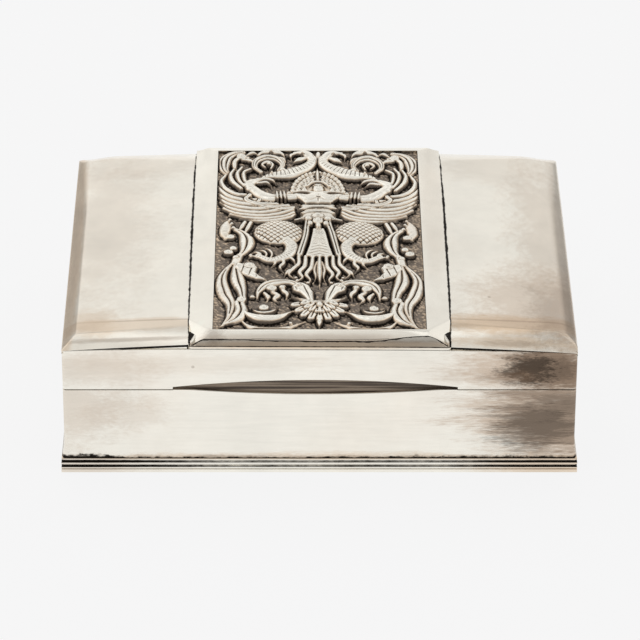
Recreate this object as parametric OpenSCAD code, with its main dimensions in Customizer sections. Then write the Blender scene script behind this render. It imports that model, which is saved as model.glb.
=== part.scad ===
// Table box in sheet silver with a reeded plinth, a vaulted hinged lid,
// a raised strap that frames a chased relief panel, and a wooden lining.
// Origin at the middle of the underside, +Z up, the front faces -Y.

/* [Box] */
// Width over the walls at the seam
box_w = 180; // [150:1:210]
// Depth over the walls at the seam, front to back
box_d = 142; // [120:1:170]
// Thickness of the silver sheet
sheet = 1; // [0.8:0.05:1.3]

/* [Base] */
// Height of the base, from the table to the seam
base_h = 33.2; // [28:0.2:45]
// Thickness of the bottom plate
floor_t = 1.2; // [0.8:0.1:2]
// Height over which the foot of each wall flares out
cove_h = 9; // [5:0.5:14]
// How far the foot of each wall flares out
cove_out = 0.9; // [0.4:0.1:1.5]

/* [Plinth] */
// Height of the plinth, from the table to its ledge
plinth_h = 5.6; // [5:0.1:8]
// How far the plinth stands out from the walls
plinth_out = 1.2; // [1:0.1:2]
// Radius of each reed
reed_r = 0.8; // [0.5:0.05:0.9]
// Thickness of the ledge over the upper reed
ledge_t = 0.5; // [0.3:0.1:0.8]
// Setback of the ledge behind the reeds
ledge_in = 0.15; // [0.05:0.05:0.4]

/* [Lid] */
// Height of the upright rim of the lid
rim_h = 15.2; // [11:0.2:22]
// Gap between the lid and the base
seam_gap = 0.2; // [0.1:0.05:0.4]
// Rise of the vault over the rim, at the middle
crown_h = 6.1; // [5:0.1:9]
// Radius of the vault across the lid
vault_r = 1500; // [900:50:2500]
// Upright lip of the side panels at the front and the back
front_lip = 1.2; // [0.6:0.1:2]
// Depth of the rolled shoulder at the front and the back
front_roll = 14; // [10:0.5:20]
// Radius of that shoulder
front_roll_r = 45; // [30:1:80]
// How far that shoulder reaches over the vault at the strap, so that they meet in a line
front_over = 0.2; // [0.1:0.05:0.5]
// Upright lip of the side panels at the left and the right
side_lip = 0.5; // [0.3:0.1:1]
// Width of the rolled shoulder at the left and the right
side_roll = 4; // [3:0.5:9]
// Radius of that shoulder
side_roll_r = 12; // [10:1:20]

/* [Thumb slot] */
// Length of the slot along the front
slot_w = 99.6; // [60:0.2:120]
// Shift of the slot from the middle of the front
slot_shift = -1.5; // [-5:0.5:5]
// Height of the step at the slot's ends
slot_step = 0.9; // [0.5:0.1:1.5]
// Rise of the lid's edge over the seam, at the middle
slot_rise = 3.8; // [2:0.2:6]
// Dip of the base's edge below the seam, at the middle
slot_dip = 1.6; // [0.6:0.2:3]

/* [Strap] */
// Width of the strap over the middle of the lid
strap_w = 91; // [70:1:100]
// Height of the strap's flat frame over the rim
strap_h = 6.7; // [6.4:0.1:9]
// Width of the sloping border along the strap's sides
bevel_w = 7.5; // [5:0.5:10]
// Depth of the sloping border at the strap's front and back
bevel_d = 3.3; // [2:0.1:6]
// Setback of the strap's upright front behind the rim
strap_set = 0.4; // [0.2:0.1:1]
// Height of the crease over the strap's upright front
crease_h = 5.1; // [3.5:0.1:5.6]
// Distance of the crease's ends from the strap's side edges
crease_in = 5.5; // [3:0.5:7]
// Height of the strap's corners over the rim
corner_h = 2; // [1.5:0.1:3]
// Depth over which the strap's side edge climbs from the corner
corner_d = 12; // [8:0.5:18]
// How far the strap's side edge stands over the side panels
strap_proud = 0.35; // [0.2:0.05:0.6]
// Width of the flat ledge around the relief panel
frame_flat = 0.6; // [0.4:0.1:1.5]

/* [Relief] */
// Height of the serpents and limbs over the ground
relief_h = 2.4; // [1.2:0.1:3]
// Height of the scrolls over the ground
scroll_h = 1.8; // [1:0.1:2.4]
// Width of the scrolls
scroll_w = 3.2; // [2.4:0.1:4]
// Width of the limbs and of the serpents' bodies
limb_w = 4.8; // [3.6:0.1:5.6]
// Width of a long feather
feather_w = 3; // [2.2:0.1:3.4]
// Radius of the balls in the scrolls
ball_r = 2; // [1.2:0.1:2.6]

/* [Lining] */
// Thickness of the wooden boards
board_t = 3; // [2:0.25:4]
// Gap between the boards and the silver
board_gap = 0.3; // [0.2:0.05:0.5]
// Height that the base lining stands over the seam
tongue_h = 4; // [2:0.5:6]
// Gap between the base lining and the lid lining
tongue_gap = 0.4; // [0.3:0.1:1]
// Thickness of the board in the lid's top
top_board_t = 2.5; // [2:0.25:3]

/* [Hinge] */
// Length of the hinge along the back
hinge_w = 150; // [100:2:150]
// Number of knuckles, an odd number
knuckles = 5; // [3:2:9]
// Radius of the knuckles
knuckle_r = 1.5; // [1.3:0.05:1.8]
// Gap between the knuckles and the strips that carry them
strip_gap = 0.2; // [0.1:0.05:0.5]
// Radius of the pin
pin_r = 0.75; // [0.6:0.05:0.9]
// Clearance of the pin in its bore, on the radius
pin_clear = 0.05; // [0.02:0.01:0.1]
// Gap between two knuckles
knuckle_gap = 0.2; // [0.1:0.05:0.4]
// Distance of the pin's axis inside the back's outer face
hinge_in = 0.6; // [0.4:0.05:0.8]
// Clearance around the knuckles in the edges of the walls
hinge_clear = 0.15; // [0.1:0.05:0.25]
// Thickness of the strips that carry the knuckles
bearer_t = 1.4; // [1:0.1:2]
// Height of those strips
bearer_h = 4.2; // [3:0.2:6]
// Slope of the bevels on the rear edges, half of the angle at which the lid stops
stop_angle = 51; // [46:1:60]

/* [Hidden] */

$fn = 96;
far = 2 * (box_w + box_d);

silver = "gainsboro";
old_silver = "darkgray";
wood = "sienna";
dark_wood = "saddlebrown";

// Levels
rim_z = base_h + seam_gap;
lid_z = rim_z + rim_h;
axis_y = box_d / 2 - hinge_in;
axis_z = base_h + seam_gap / 2;

// Base
cove_top = plinth_h + cove_h;
cove_r = (cove_h * cove_h + cove_out * cove_out) / (2 * cove_out);
reed_pitch = (plinth_h - ledge_t - floor_t) / 2;

// Thumb slot: both edges are arcs that rise or dip from the ends
slot_cut_w = slot_w + seam_gap;
arch_r = arc_radius(slot_cut_w / 2, slot_rise - slot_step);
dip_r = arc_radius(slot_w / 2, slot_dip + slot_step - seam_gap);

// Shoulders of the lid, each an arc from the lip to the vault
side_in = box_w / 2 - side_roll;
side_c = arc_centre([box_w / 2, side_lip], [side_in, vault_z(side_in)], side_roll_r);
front_in = box_d / 2 - front_roll;
front_c = arc_centre([box_d / 2, front_lip], [front_in, vault_z(strap_w / 2) + front_over], front_roll_r);

// Strap
edge_h = vault_z(strap_w / 2) + strap_proud;
flat_x = strap_w / 2 - bevel_w;
flat_y = box_d / 2 - strap_set - bevel_d;
crease_x = strap_w / 2 - crease_in;
window_x = flat_x - frame_flat;
window_y = flat_y - frame_flat;

// Share of the wall by which the inner edges of the strap's flat lie inside the outer ones
slope_share = 0.3;

// Relief plate, which fills the flat underside of the frame
plate_x = flat_x - slope_share * sheet;
plate_y = flat_y - slope_share * sheet;
plate_z = strap_h - sheet;

// Relief: half the size of the sheet it is drawn on, and the parts of a curve between two points
draw_x = 38;
draw_y = 67;
route_steps = 2;

// Routes of the relief on its right half: x from the middle outwards, y towards the back
corner_scrolls = [
    [[30, -16], [34, -24], [35, -32], [33, -42], [31.5, -50], [34, -64]],
    [[29.5, -17], [29.5, -25], [28.5, -34], [27, -45], [28, -54], [34, -64]],
    [[29, -18], [28, -24], [25, -28], [20, -31]],
    [[17, -50], [20.5, -43], [19, -35], [14, -31.5], [8.5, -34]],
    [[9, -37], [6, -34.5], [3, -37], [2, -42], [2.5, -48]],
    [[6.5, -37], [7.5, -42], [5, -48]],
    [[6, -59], [12, -64], [19, -65], [27, -59]],
    [[26, -52], [24, -59], [17, -61], [13, -52]]
];
side_scrolls = [
    [[32.5, 18], [34, 12], [34, 6], [33, 2]],
    [[31, 9], [27, 5], [25.5, -1], [26.5, -8], [30, -17]],
    [[25, 15], [27, 6]],
    [[27.5, 15], [29.5, 8]]
];
top_scrolls = [
    [[15.5, 53], [14.5, 57], [17, 61], [21, 60.5], [23.5, 56], [21.5, 52]],
    [[12, 61.5], [16, 65], [22, 63.5]],
    [[31.5, 48.5], [35, 54], [34.5, 61], [28, 65]],
    [[30.5, 51], [31.5, 57], [29, 62]]
];
serpents = [
    [[1.5, 61], [2.5, 56.5], [9, 51], [17, 49], [22, 45]],
    [[2, 59], [4, 63.5], [9, 64.5]]
];
limbs = [
    [[8, 32.5], [14, 32], [20, 33], [25, 37]],
    [[24, 35.5], [25.5, 40], [21, 44.5], [16, 43.5]],
    [[12, 2], [9.5, -4], [10.5, -10], [16, -15], [23, -10]],
    [[13.5, -13], [12.5, -18], [12, -24]]
];
long_feathers = [
    [[30, 18.5], [21, 16], [14, 17], [8, 21]],
    [[34, 24], [27, 20], [18, 19.5], [9.5, 23]],
    [[36, 30], [31, 24.5], [22, 23], [11, 25]],
    [[36.5, 36.5], [33, 30], [26, 27], [15, 27]],
    [[36, 43.5], [35.5, 37], [30, 31.5], [20, 29.5]],
    [[33.5, 49], [35, 42.5], [32, 36.5], [25, 33]]
];
short_feathers = [
    [[31.5, 53], [32, 47], [29, 39]],
    [[28, 54], [29.5, 48], [27, 40.5]]
];
tail = [
    [[3, -12], [3, -22], [4.5, -33]],
    [[6.5, -12], [7, -21], [9, -28]]
];
balls = [
    [27, -46.5], [24.5, -21], [16.5, -37.5], [4, -39], [19.5, -54], [32, 3], [32, -9], [28.5, 62], [18.5, 57]
];
skirt = [[-1, 15], [4.5, 15], [8, -10], [5, -13], [-1, -12]];
waist = [[-1, 15], [7.5, 15], [6.5, 21], [7, 28], [-1, 28]];
chest = [[-1, 27], [6, 27], [8, 31], [9.5, 35.5], [-1, 35.5]];
crown = [[-1, 52.5], [0.5, 52.5], [4, 49.5], [7.5, 45], [8.5, 40], [8, 37], [-1, 37]];
boss = [[-1, -48.5], [7, -48.5], [9, -51.5], [7, -56], [2, -60], [0.5, -65], [-1, -65]];
thigh = [14, 7];
thigh_r = [9, 9.5];

// Size of the top of a flat form, as a share of its foot
form_scale = 0.85;

// Lining
lining_x = box_w / 2 - sheet - board_gap;
lining_y = box_d / 2 - sheet - board_gap;
lining_z = floor_t + board_t;
lining_top = base_h + tongue_h;
bearer_y = axis_y + hinge_in - sheet;
hinge_room = bearer_y - bearer_t - board_gap;
lining_back_y = min(hinge_room, axis_y - knuckle_r - board_gap);
lid_lining_z = lining_top + tongue_gap;
top_board_z = lid_z - top_board_t;

// Hinge
channel_r = knuckle_r + hinge_clear;
knuckle_w = hinge_w / knuckles;

// Radius of an arc with a given half chord and rise
function arc_radius(half, rise) = (half * half + rise * rise) / (2 * rise);

// Height of the vault over the rim, at a distance x from the middle
function vault_z(x) = crown_h - vault_r + sqrt(vault_r * vault_r - x * x);

// Centre of an arc of radius r that rises from an outer point a to an inner point b
function arc_centre(a, b, r) =
    let (m = (a + b) / 2, d = b - a, len = norm(d), up = sqrt(r * r - len * len / 4))
    m - up * [d[1], -d[0]] / len;

// A profile drawn as [outwards, up], carried along one side and mitred at both ends
module mitred(half, reach_in, reach_out, z0, z1) {
    intersection() {
        rotate([90, 0, -90])
            linear_extrude(2 * (half + reach_out), center = true)
                children();
        translate([0, 0, z0])
            linear_extrude(z1 - z0)
                polygon([
                    [-half + reach_in, reach_in], [-half - reach_out, -reach_out],
                    [half + reach_out, -reach_out], [half - reach_in, reach_in]
                ]);
    }
}

// Puts a part of the front side on a side of the box
module on_front() {
    translate([0, -box_d / 2, 0]) children();
}

module on_back() {
    translate([0, box_d / 2, 0]) rotate(180) children();
}

module on_left() {
    translate([-box_w / 2, 0, 0]) rotate(-90) children();
}

module on_right() {
    translate([box_w / 2, 0, 0]) rotate(90) children();
}

// Box from one corner to the opposite one
module block(a, b) {
    translate(a) cube(b - a);
}

// Rod along X around the hinge axis
module axis_rod(r, x0, x1) {
    translate([x0, axis_y, axis_z]) rotate([0, 90, 0]) cylinder(r = r, h = x1 - x0);
}

// Wedge that bevels the rear edges of the base, or of the lid with up = 1
module rear_bevel(up) {
    reach = 2 * hinge_in;
    translate([-far / 2, axis_y, axis_z])
        rotate([90, 0, 90])
            linear_extrude(far)
                polygon([[0, 0], [reach, 0], [reach, up * reach * tan(stop_angle)]]);
}

// Room for the barrel of the hinge in the rear edges
module barrel_channel() {
    axis_rod(channel_r, -hinge_w / 2 - board_gap, hinge_w / 2 + board_gap);
}

// Base: four walls with a flared foot, mitred at the corners
module wall_profile() {
    translate([-sheet, cove_top]) square([sheet, base_h - cove_top]);
    intersection() {
        translate([-sheet, plinth_h]) square([sheet + cove_out, cove_h]);
        translate([cove_r, cove_top])
            difference() {
                circle(r = cove_r + sheet, $fn = 256);
                circle(r = cove_r, $fn = 256);
            }
    }
}

module base_wall(half) {
    mitred(half, 2 * sheet, 2 * cove_out, plinth_h, base_h) wall_profile();
}

module base_front() {
    color(silver)
        difference() {
            on_front()
                union() {
                    base_wall(box_w / 2);
                    translate([slot_shift - slot_w / 2, 0, base_h - slot_step])
                        cube([slot_w, sheet, 2 * slot_step]);
                }
            translate([slot_shift, -box_d / 2 - sheet, base_h - slot_dip + dip_r])
                rotate([-90, 0, 0]) cylinder(r = dip_r, h = 3 * sheet, $fn = 256);
        }
}

module base_back() {
    color(silver)
        difference() {
            on_back() base_wall(box_w / 2);
            rear_bevel(-1);
            barrel_channel();
        }
}

module base_left() {
    color(silver)
        difference() {
            on_left() base_wall(box_d / 2);
            rear_bevel(-1);
        }
}

module base_right() {
    color(silver)
        difference() {
            on_right() base_wall(box_d / 2);
            rear_bevel(-1);
        }
}

module base_floor() {
    x = box_w / 2 + plinth_out;
    y = box_d / 2 + plinth_out;
    color(silver) block([-x, -y, 0], [x, y, floor_t]);
}

// Plinth: a drawn wire with two reeds under a ledge, mitred at the corners
module plinth_profile() {
    reed_out = plinth_out - reed_r;
    translate([-sheet, floor_t]) square([sheet + reed_out, plinth_h - floor_t]);
    for (i = [0, 1])
        translate([reed_out, floor_t + (i + 0.5) * reed_pitch]) circle(r = reed_r);
    translate([-sheet, plinth_h - ledge_t]) square([sheet + plinth_out - ledge_in, ledge_t]);
}

module plinth_bar(half) {
    mitred(half, 2 * sheet, 2 * plinth_out, floor_t, plinth_h) plinth_profile();
}

module plinth_front() {
    color(silver) on_front() plinth_bar(box_w / 2);
}

module plinth_back() {
    color(silver) on_back() plinth_bar(box_w / 2);
}

module plinth_left() {
    color(silver) on_left() plinth_bar(box_d / 2);
}

module plinth_right() {
    color(silver) on_right() plinth_bar(box_d / 2);
}

// Base lining: a floor board and four upright boards that stand over the seam
module lining_floor() {
    color(dark_wood) block([-lining_x, -lining_y, floor_t], [lining_x, lining_y, lining_z]);
}

module lining_front() {
    color(wood)
        block([-lining_x, -lining_y, lining_z], [lining_x, board_t - lining_y, lining_top]);
}

module lining_back() {
    color(wood)
        block([-lining_x, lining_back_y - board_t, lining_z], [lining_x, lining_back_y, lining_top]);
}

module lining_end(x0, z0, z1) {
    block([x0, board_t - lining_y, z0], [x0 + board_t, lining_back_y - board_t, z1]);
}

module lining_left() {
    color(wood) lining_end(-lining_x, lining_z, lining_top);
}

module lining_right() {
    color(wood) lining_end(lining_x - board_t, lining_z, lining_top);
}

// Hinge: knuckles on a strip, every second one of each leaf
module leaf(first, up) {
    strip_y = bearer_y - bearer_t;
    strip_z = knuckle_r + strip_gap;
    difference() {
        union() {
            translate([-hinge_w / 2, strip_y, axis_z + min(up * strip_z, up * (strip_z + bearer_h))])
                cube([hinge_w, bearer_t, bearer_h]);
            for (i = [first : 2 : knuckles - 1]) {
                x0 = -hinge_w / 2 + i * knuckle_w + (i > 0 ? knuckle_gap / 2 : 0);
                x1 = -hinge_w / 2 + (i + 1) * knuckle_w - (i < knuckles - 1 ? knuckle_gap / 2 : 0);
                axis_rod(knuckle_r, x0, x1);
                z0 = axis_z + min(up * seam_gap / 2, up * (strip_z + seam_gap));
                z1 = axis_z + max(up * seam_gap / 2, up * (strip_z + seam_gap));
                block([x0, strip_y, z0], [x1, bearer_y, z1]);
            }
        }
        axis_rod(pin_r + pin_clear, -hinge_w, hinge_w);
    }
}

module base_knuckles() {
    color(silver) leaf(0, -1);
}

module lid_knuckles() {
    color(silver) leaf(1, 1);
}

module hinge_pin() {
    color(old_silver) axis_rod(pin_r, -hinge_w / 2, hinge_w / 2);
}

// Lid: four rims, mitred at the corners
module rim(half) {
    mitred(half, 2 * sheet, sheet, rim_z, lid_z)
        translate([-sheet, rim_z]) square([sheet, rim_h]);
}

module rim_front() {
    color(silver)
        difference() {
            on_front() rim(box_w / 2);
            translate([slot_shift - slot_cut_w / 2, -box_d / 2 - sheet, rim_z - sheet])
                cube([slot_cut_w, 3 * sheet, sheet + slot_step]);
            translate([slot_shift, -box_d / 2 - sheet, rim_z + slot_rise - arch_r])
                rotate([-90, 0, 0]) cylinder(r = arch_r, h = 3 * sheet, $fn = 256);
        }
}

module rim_back() {
    color(silver)
        difference() {
            on_back() rim(box_w / 2);
            rear_bevel(1);
            barrel_channel();
        }
}

module rim_left() {
    color(silver)
        difference() {
            on_left() rim(box_d / 2);
            rear_bevel(1);
        }
}

module rim_right() {
    color(silver)
        difference() {
            on_right() rim(box_d / 2);
            rear_bevel(1);
        }
}

// Half outline of a vaulted section: an upright lip, a rolled shoulder and the top
module section(out, inner, c, r, top) {
    intersection() {
        translate([-out, 0]) square([2 * out, top]);
        union() {
            translate([-inner, 0]) square([2 * inner, top]);
            for (s = [-1, 1])
                translate([s * c[0], c[1]]) circle(r = r, $fn = 256);
        }
    }
}

// Body of the lid's top, drawn in by a wall t
module vaulted(t) {
    intersection() {
        rotate([90, 0, 0])
            linear_extrude(far, center = true)
                intersection() {
                    section(box_w / 2 - t, side_in, side_c, side_roll_r - t, 2 * crown_h);
                    translate([0, crown_h - vault_r]) circle(r = vault_r - t, $fn = 3000);
                }
        rotate([90, 0, 90])
            linear_extrude(far, center = true)
                section(box_d / 2 - t, front_in, front_c, front_roll_r - t, 2 * crown_h);
    }
}

module side_panel() {
    difference() {
        vaulted(0);
        vaulted(sheet);
        block([-far, -far, -far], [strap_w / 2, far, far]);
    }
}

module left_panel() {
    color(silver) translate([0, 0, lid_z]) mirror([1, 0, 0]) side_panel();
}

module right_panel() {
    color(silver) translate([0, 0, lid_z]) side_panel();
}

// Convex body of the strap, drawn in by a wall t on its sides and by less on its slopes
module strap_body(t) {
    x = strap_w / 2 - t;
    y = box_d / 2 - strap_set - t;
    slope = t * slope_share;
    quarter = [
        [x, y, -sheet], [x, y, corner_h - t], [crease_x - slope, y, crease_h - slope],
        [x, y - corner_d, edge_h - t], [flat_x - slope, flat_y - slope, strap_h - t]
    ];
    corners = [
        for (sx = [-1, 1], sy = [-1, 1])
            for (p = quarter)
                [sx * p[0], sy * p[1], p[2]]
    ];
    hull() polyhedron(points = corners, faces = [[for (i = [0 : len(corners) - 1]) i]]);
}

module strap_frame() {
    color(silver)
        translate([0, 0, lid_z])
            difference() {
                intersection() {
                    strap_body(0);
                    block([-far, -far, 0], [far, far, far]);
                }
                strap_body(sheet);
                block([-window_x, -window_y, -far], [window_x, window_y, far]);
            }
}

// Place of a point of the drawing on the plate
function on_plate(p) = [p[0] * window_x / draw_x, p[1] * window_y / draw_y];

// Point at a share t of the way from point i to the next, on a cubic through all points
function between(p, i, t) =
    let (
        last = len(p) - 1,
        start_pull = (p[i + 1] - p[max(i - 1, 0)]) / 2,
        end_pull = (p[min(i + 2, last)] - p[i]) / 2
    )
    (2 * t * t * t - 3 * t * t + 1) * p[i] + (t * t * t - 2 * t * t + t) * start_pull
    + (3 * t * t - 2 * t * t * t) * p[i + 1] + (t * t * t - t * t) * end_pull;

function curve(p) = [
    for (i = [0 : len(p) - 2], k = [0 : route_steps - 1]) between(p, i, k / route_steps),
    p[len(p) - 1]
];

// Half-round section across a curve at its point i: five points over the ground and two below it
function section_at(path, i, w, h, tips) =
    let (
        last = len(path) - 1,
        way = path[min(i + 1, last)] - path[max(i - 1, 0)],
        across = [-way[1], way[0]] / norm(way),
        u = i / last,
        share = 1 - (1 - tips[0]) * pow(1 - u, 3) - (1 - tips[1]) * pow(u, 3),
        half = share * w / 2
    )
    [
        for (a = [0 : 45 : 180])
            [path[i][0] + across[0] * half * cos(a), path[i][1] + across[1] * half * cos(a), share * h * sin(a)],
        for (side = [-1, 1])
            [path[i][0] + side * across[0] * half, path[i][1] + side * across[1] * half, -sheet / 2]
    ];

// Half-round band that narrows towards its ends, beaten up along a route
module band(points, w, h, tips = [0.5, 0.3]) {
    path = curve([for (p = points) on_plate(p)]);
    last = len(path) - 1;
    n = 7;
    polyhedron(
        points = [for (i = [0 : last]) each section_at(path, i, w, h, tips)],
        faces = [
            [for (j = [0 : n - 1]) j],
            for (i = [0 : last - 1], j = [0 : n - 1])
                [i * n + j, (i + 1) * n + j, (i + 1) * n + (j + 1) % n, i * n + (j + 1) % n],
            [for (j = [n - 1 : -1 : 0]) last * n + j]
        ]
    );
}

// Flat form with sloping sides
module form(outline, h) {
    middle = [0, (min([for (p = outline) p[1]]) + max([for (p = outline) p[1]])) / 2];
    at = on_plate(middle);
    translate([at[0], at[1], -sheet / 2])
        linear_extrude(h + sheet / 2, scale = form_scale)
            polygon([for (p = outline) on_plate(p - middle)]);
}

// Domed form on an ellipse
module dome(middle, r, h) {
    at = on_plate(middle);
    translate(at) scale([r[0], r[1], h]) sphere(1, $fn = 14);
}

module relief_half() {
    for (r = corner_scrolls) band(r, scroll_w, scroll_h);
    for (r = side_scrolls) band(r, scroll_w, scroll_h);
    for (r = top_scrolls) band(r, scroll_w, scroll_h);
    for (r = tail) band(r, feather_w, scroll_h, [1, 0.2]);
    for (i = [0 : len(long_feathers) - 1])
        band(long_feathers[i], feather_w, scroll_h * (0.8 + 0.04 * i), [0.6, 0.9]);
    for (r = short_feathers) band(r, feather_w, scroll_h, [0.6, 0.8]);
    for (r = serpents) band(r, limb_w, relief_h, [0.7, 0.3]);
    for (r = limbs) band(r, limb_w, relief_h, [0.9, 0.4]);
    for (p = balls) dome(p, [ball_r, ball_r], relief_h);
    dome(thigh, thigh_r, relief_h);
    form(skirt, scroll_h);
    form(waist, scroll_h);
    form(chest, relief_h);
    form(crown, scroll_h);
    form(boss, relief_h);
    band([[0, -12], [0, -24], [0, -36]], feather_w, relief_h, [1, 0.1]);
}

// Relief plate, soldered under the ledge of the frame, with the main forms of its relief.
// It is brought to the height at which the highest form stands relief_h over the ground.
module relief_plate() {
    color(old_silver)
        translate([0, 0, lid_z + plate_z - sheet])
            resize([0, 0, sheet + relief_h])
                union() {
                    block([-plate_x, -plate_y, 0], [plate_x, plate_y, sheet]);
                    intersection() {
                        block([-window_x, -window_y, sheet / 2], [window_x, window_y, 4 * relief_h]);
                        translate([0, 0, sheet])
                            union() {
                                relief_half();
                                mirror([1, 0, 0]) relief_half();
                            }
                    }
                }
}

// Lid lining: a board under the vault and four strips inside the rims
module lid_lining_top() {
    color(dark_wood) block([-lining_x, -lining_y, top_board_z], [lining_x, lining_y, lid_z]);
}

module lid_lining_front() {
    color(wood)
        block([-lining_x, -lining_y, lid_lining_z], [lining_x, board_t - lining_y, top_board_z]);
}

module lid_lining_back() {
    color(wood)
        block([-lining_x, lining_back_y - board_t, lid_lining_z], [lining_x, lining_back_y, top_board_z]);
}

module lid_lining_left() {
    color(wood) lining_end(-lining_x, lid_lining_z, top_board_z);
}

module lid_lining_right() {
    color(wood) lining_end(lining_x - board_t, lid_lining_z, top_board_z);
}

base_front();
base_back();
base_left();
base_right();
base_floor();
plinth_front();
plinth_back();
plinth_left();
plinth_right();
lining_floor();
lining_front();
lining_back();
lining_left();
lining_right();
base_knuckles();
hinge_pin();
rim_front();
rim_back();
rim_left();
rim_right();
left_panel();
right_panel();
strap_frame();
relief_plate();
lid_lining_top();
lid_lining_front();
lid_lining_back();
lid_lining_left();
lid_lining_right();
lid_knuckles();
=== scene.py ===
"""Silver table box: hand-worked surfaces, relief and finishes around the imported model."""
import math

import bpy
import numpy as np
from bpy.props import FloatProperty, FloatVectorProperty, PointerProperty
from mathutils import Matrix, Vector


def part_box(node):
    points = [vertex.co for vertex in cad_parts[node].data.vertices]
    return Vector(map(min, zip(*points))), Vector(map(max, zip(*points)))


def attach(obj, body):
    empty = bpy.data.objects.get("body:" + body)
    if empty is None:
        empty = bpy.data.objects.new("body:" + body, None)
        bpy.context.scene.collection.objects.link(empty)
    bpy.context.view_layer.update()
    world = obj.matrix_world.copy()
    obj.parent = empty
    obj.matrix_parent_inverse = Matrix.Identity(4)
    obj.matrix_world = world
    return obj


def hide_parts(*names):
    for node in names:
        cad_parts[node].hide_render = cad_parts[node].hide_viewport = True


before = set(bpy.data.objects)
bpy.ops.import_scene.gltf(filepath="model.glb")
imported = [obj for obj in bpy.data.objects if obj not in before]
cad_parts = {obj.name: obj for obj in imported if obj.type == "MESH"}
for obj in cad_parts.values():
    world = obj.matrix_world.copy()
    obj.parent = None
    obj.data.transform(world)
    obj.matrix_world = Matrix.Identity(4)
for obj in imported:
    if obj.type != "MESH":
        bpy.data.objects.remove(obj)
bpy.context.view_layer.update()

bl_info = {
    "name": "Silver Table Box",
    "version": (1, 0, 0),
    "blender": (4, 5, 0),
    "location": "View3D > Sidebar > Table Box",
    "description": "Builds the worked silver surfaces, the relief and the finishes of a small table box",
    "category": "Object",
}

# Sizes below are in millimetres, as the silversmith works, and become metres when a mesh is made.
MM = 0.001


def corner(node, end):
    """Lowest (0) or highest (1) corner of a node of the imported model, in millimetres."""
    return np.array(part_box(node)[end]) / MM


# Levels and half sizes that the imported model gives
HALF_W = corner("rim_right", 1)[0]
HALF_D = -corner("rim_front", 0)[1]
SEAM_Z = corner("base_left", 1)[2]
RIM_Z = corner("rim_left", 0)[2]
LID_Z = corner("rim_left", 1)[2]
PLINTH_Z = corner("plinth_front", 1)[2]
PLINTH_X = corner("plinth_right", 1)[0]
FLOOR_T = corner("base_floor", 1)[2]
STRAP_X = corner("strap_frame", 1)[0]
STRAP_Y = corner("strap_frame", 1)[1]
STRAP_Z = corner("strap_frame", 1)[2]
PLATE_X = corner("relief_plate", 1)[0]
PLATE_Y = corner("relief_plate", 1)[1]
PLATE_FOOT = corner("relief_plate", 0)[2]
GROUND_Z = PLATE_FOOT + 1.0
WINDOW_X = PLATE_X - 0.3
WINDOW_Y = PLATE_Y - 0.3
AXIS_Y = (corner("hinge_pin", 0)[1] + corner("hinge_pin", 1)[1]) / 2
AXIS_Z = (corner("hinge_pin", 0)[2] + corner("hinge_pin", 1)[2]) / 2
LEAF_X = corner("hinge_pin", 1)[0] + 0.3


# Property groups


class TableBoxSizes(bpy.types.PropertyGroup):
    """Sizes of the worked silver, in metres."""

    sheet: FloatProperty(
        name="Sheet", description="Thickness of the silver sheet", default=0.001, unit="LENGTH"
    )
    corner_radius: FloatProperty(
        name="Corner radius", description="Radius of the upright corners", default=0.0012, unit="LENGTH"
    )
    edge_radius: FloatProperty(
        name="Edge radius", description="Wear on the edges of the sheet", default=0.00025, unit="LENGTH"
    )
    wave: FloatProperty(
        name="Wave", description="Unevenness of the hammered sheet", default=0.00004, unit="LENGTH"
    )
    slot_length: FloatProperty(
        name="Slot length", description="Length of the thumb slot", default=0.0996, unit="LENGTH"
    )
    slot_rise: FloatProperty(
        name="Slot rise", description="Rise of the lid's edge over the slot", default=0.0038, unit="LENGTH"
    )
    slot_dip: FloatProperty(
        name="Slot dip", description="Dip of the base's edge under the slot", default=0.0016, unit="LENGTH"
    )
    relief_pitch: FloatProperty(
        name="Relief pitch", description="Distance between two points of the relief", default=0.0002,
        unit="LENGTH",
    )
    relief_height: FloatProperty(
        name="Relief height", description="Height factor of the relief's crests", default=1.0
    )
    stipple: FloatProperty(
        name="Stipple", description="Depth of the punched ground", default=0.00022, unit="LENGTH"
    )


class TableBoxColours(bpy.types.PropertyGroup):
    """Colours of the metals and the wood, as linear values."""

    silver: FloatVectorProperty(
        name="Silver", description="Clean silver", subtype="COLOR", default=(0.965, 0.932, 0.845)
    )
    # Warm also paints reflection tones on the right side roll, the right front roll and the strap's bevel.
    warm: FloatVectorProperty(
        name="Warm tarnish", description="First bloom of tarnish", subtype="COLOR",
        default=(0.60, 0.47, 0.36)
    )
    # Tan also paints reflection bands on the front and side rolls and the strap's front, and the mid-tones of
    # the relief's painted highlight.
    tan: FloatVectorProperty(
        name="Tan tarnish", description="Yellow-brown bloom on worn edges", subtype="COLOR",
        default=(0.74, 0.58, 0.42)
    )
    # Brown also paints dark reflection lines at the rolls' shoulders, near their lips and along the strap's
    # front.
    brown: FloatVectorProperty(
        name="Brown tarnish", description="Heavier tarnish", subtype="COLOR", default=(0.19, 0.118, 0.072)
    )
    # Black also paints shade in the panels' undercuts, the strap's crease and the relief's recesses, and the
    # dark reflection on the reeds.
    black: FloatVectorProperty(
        name="Black tarnish", description="Oxide in seams and recesses", subtype="COLOR",
        default=(0.018, 0.014, 0.011)
    )
    # The ground colour also paints shade on the relief's slopes and low forms.
    ground: FloatVectorProperty(
        name="Relief ground", description="Oxidised ground of the relief", subtype="COLOR",
        default=(0.22, 0.185, 0.155)
    )
    wood: FloatVectorProperty(
        name="Wood", description="Upright boards of the lining", subtype="COLOR",
        default=(0.42, 0.33, 0.25)
    )
    dark_wood: FloatVectorProperty(
        name="Dark wood", description="Grain and flat boards of the lining", subtype="COLOR",
        default=(0.075, 0.052, 0.036)
    )


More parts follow.
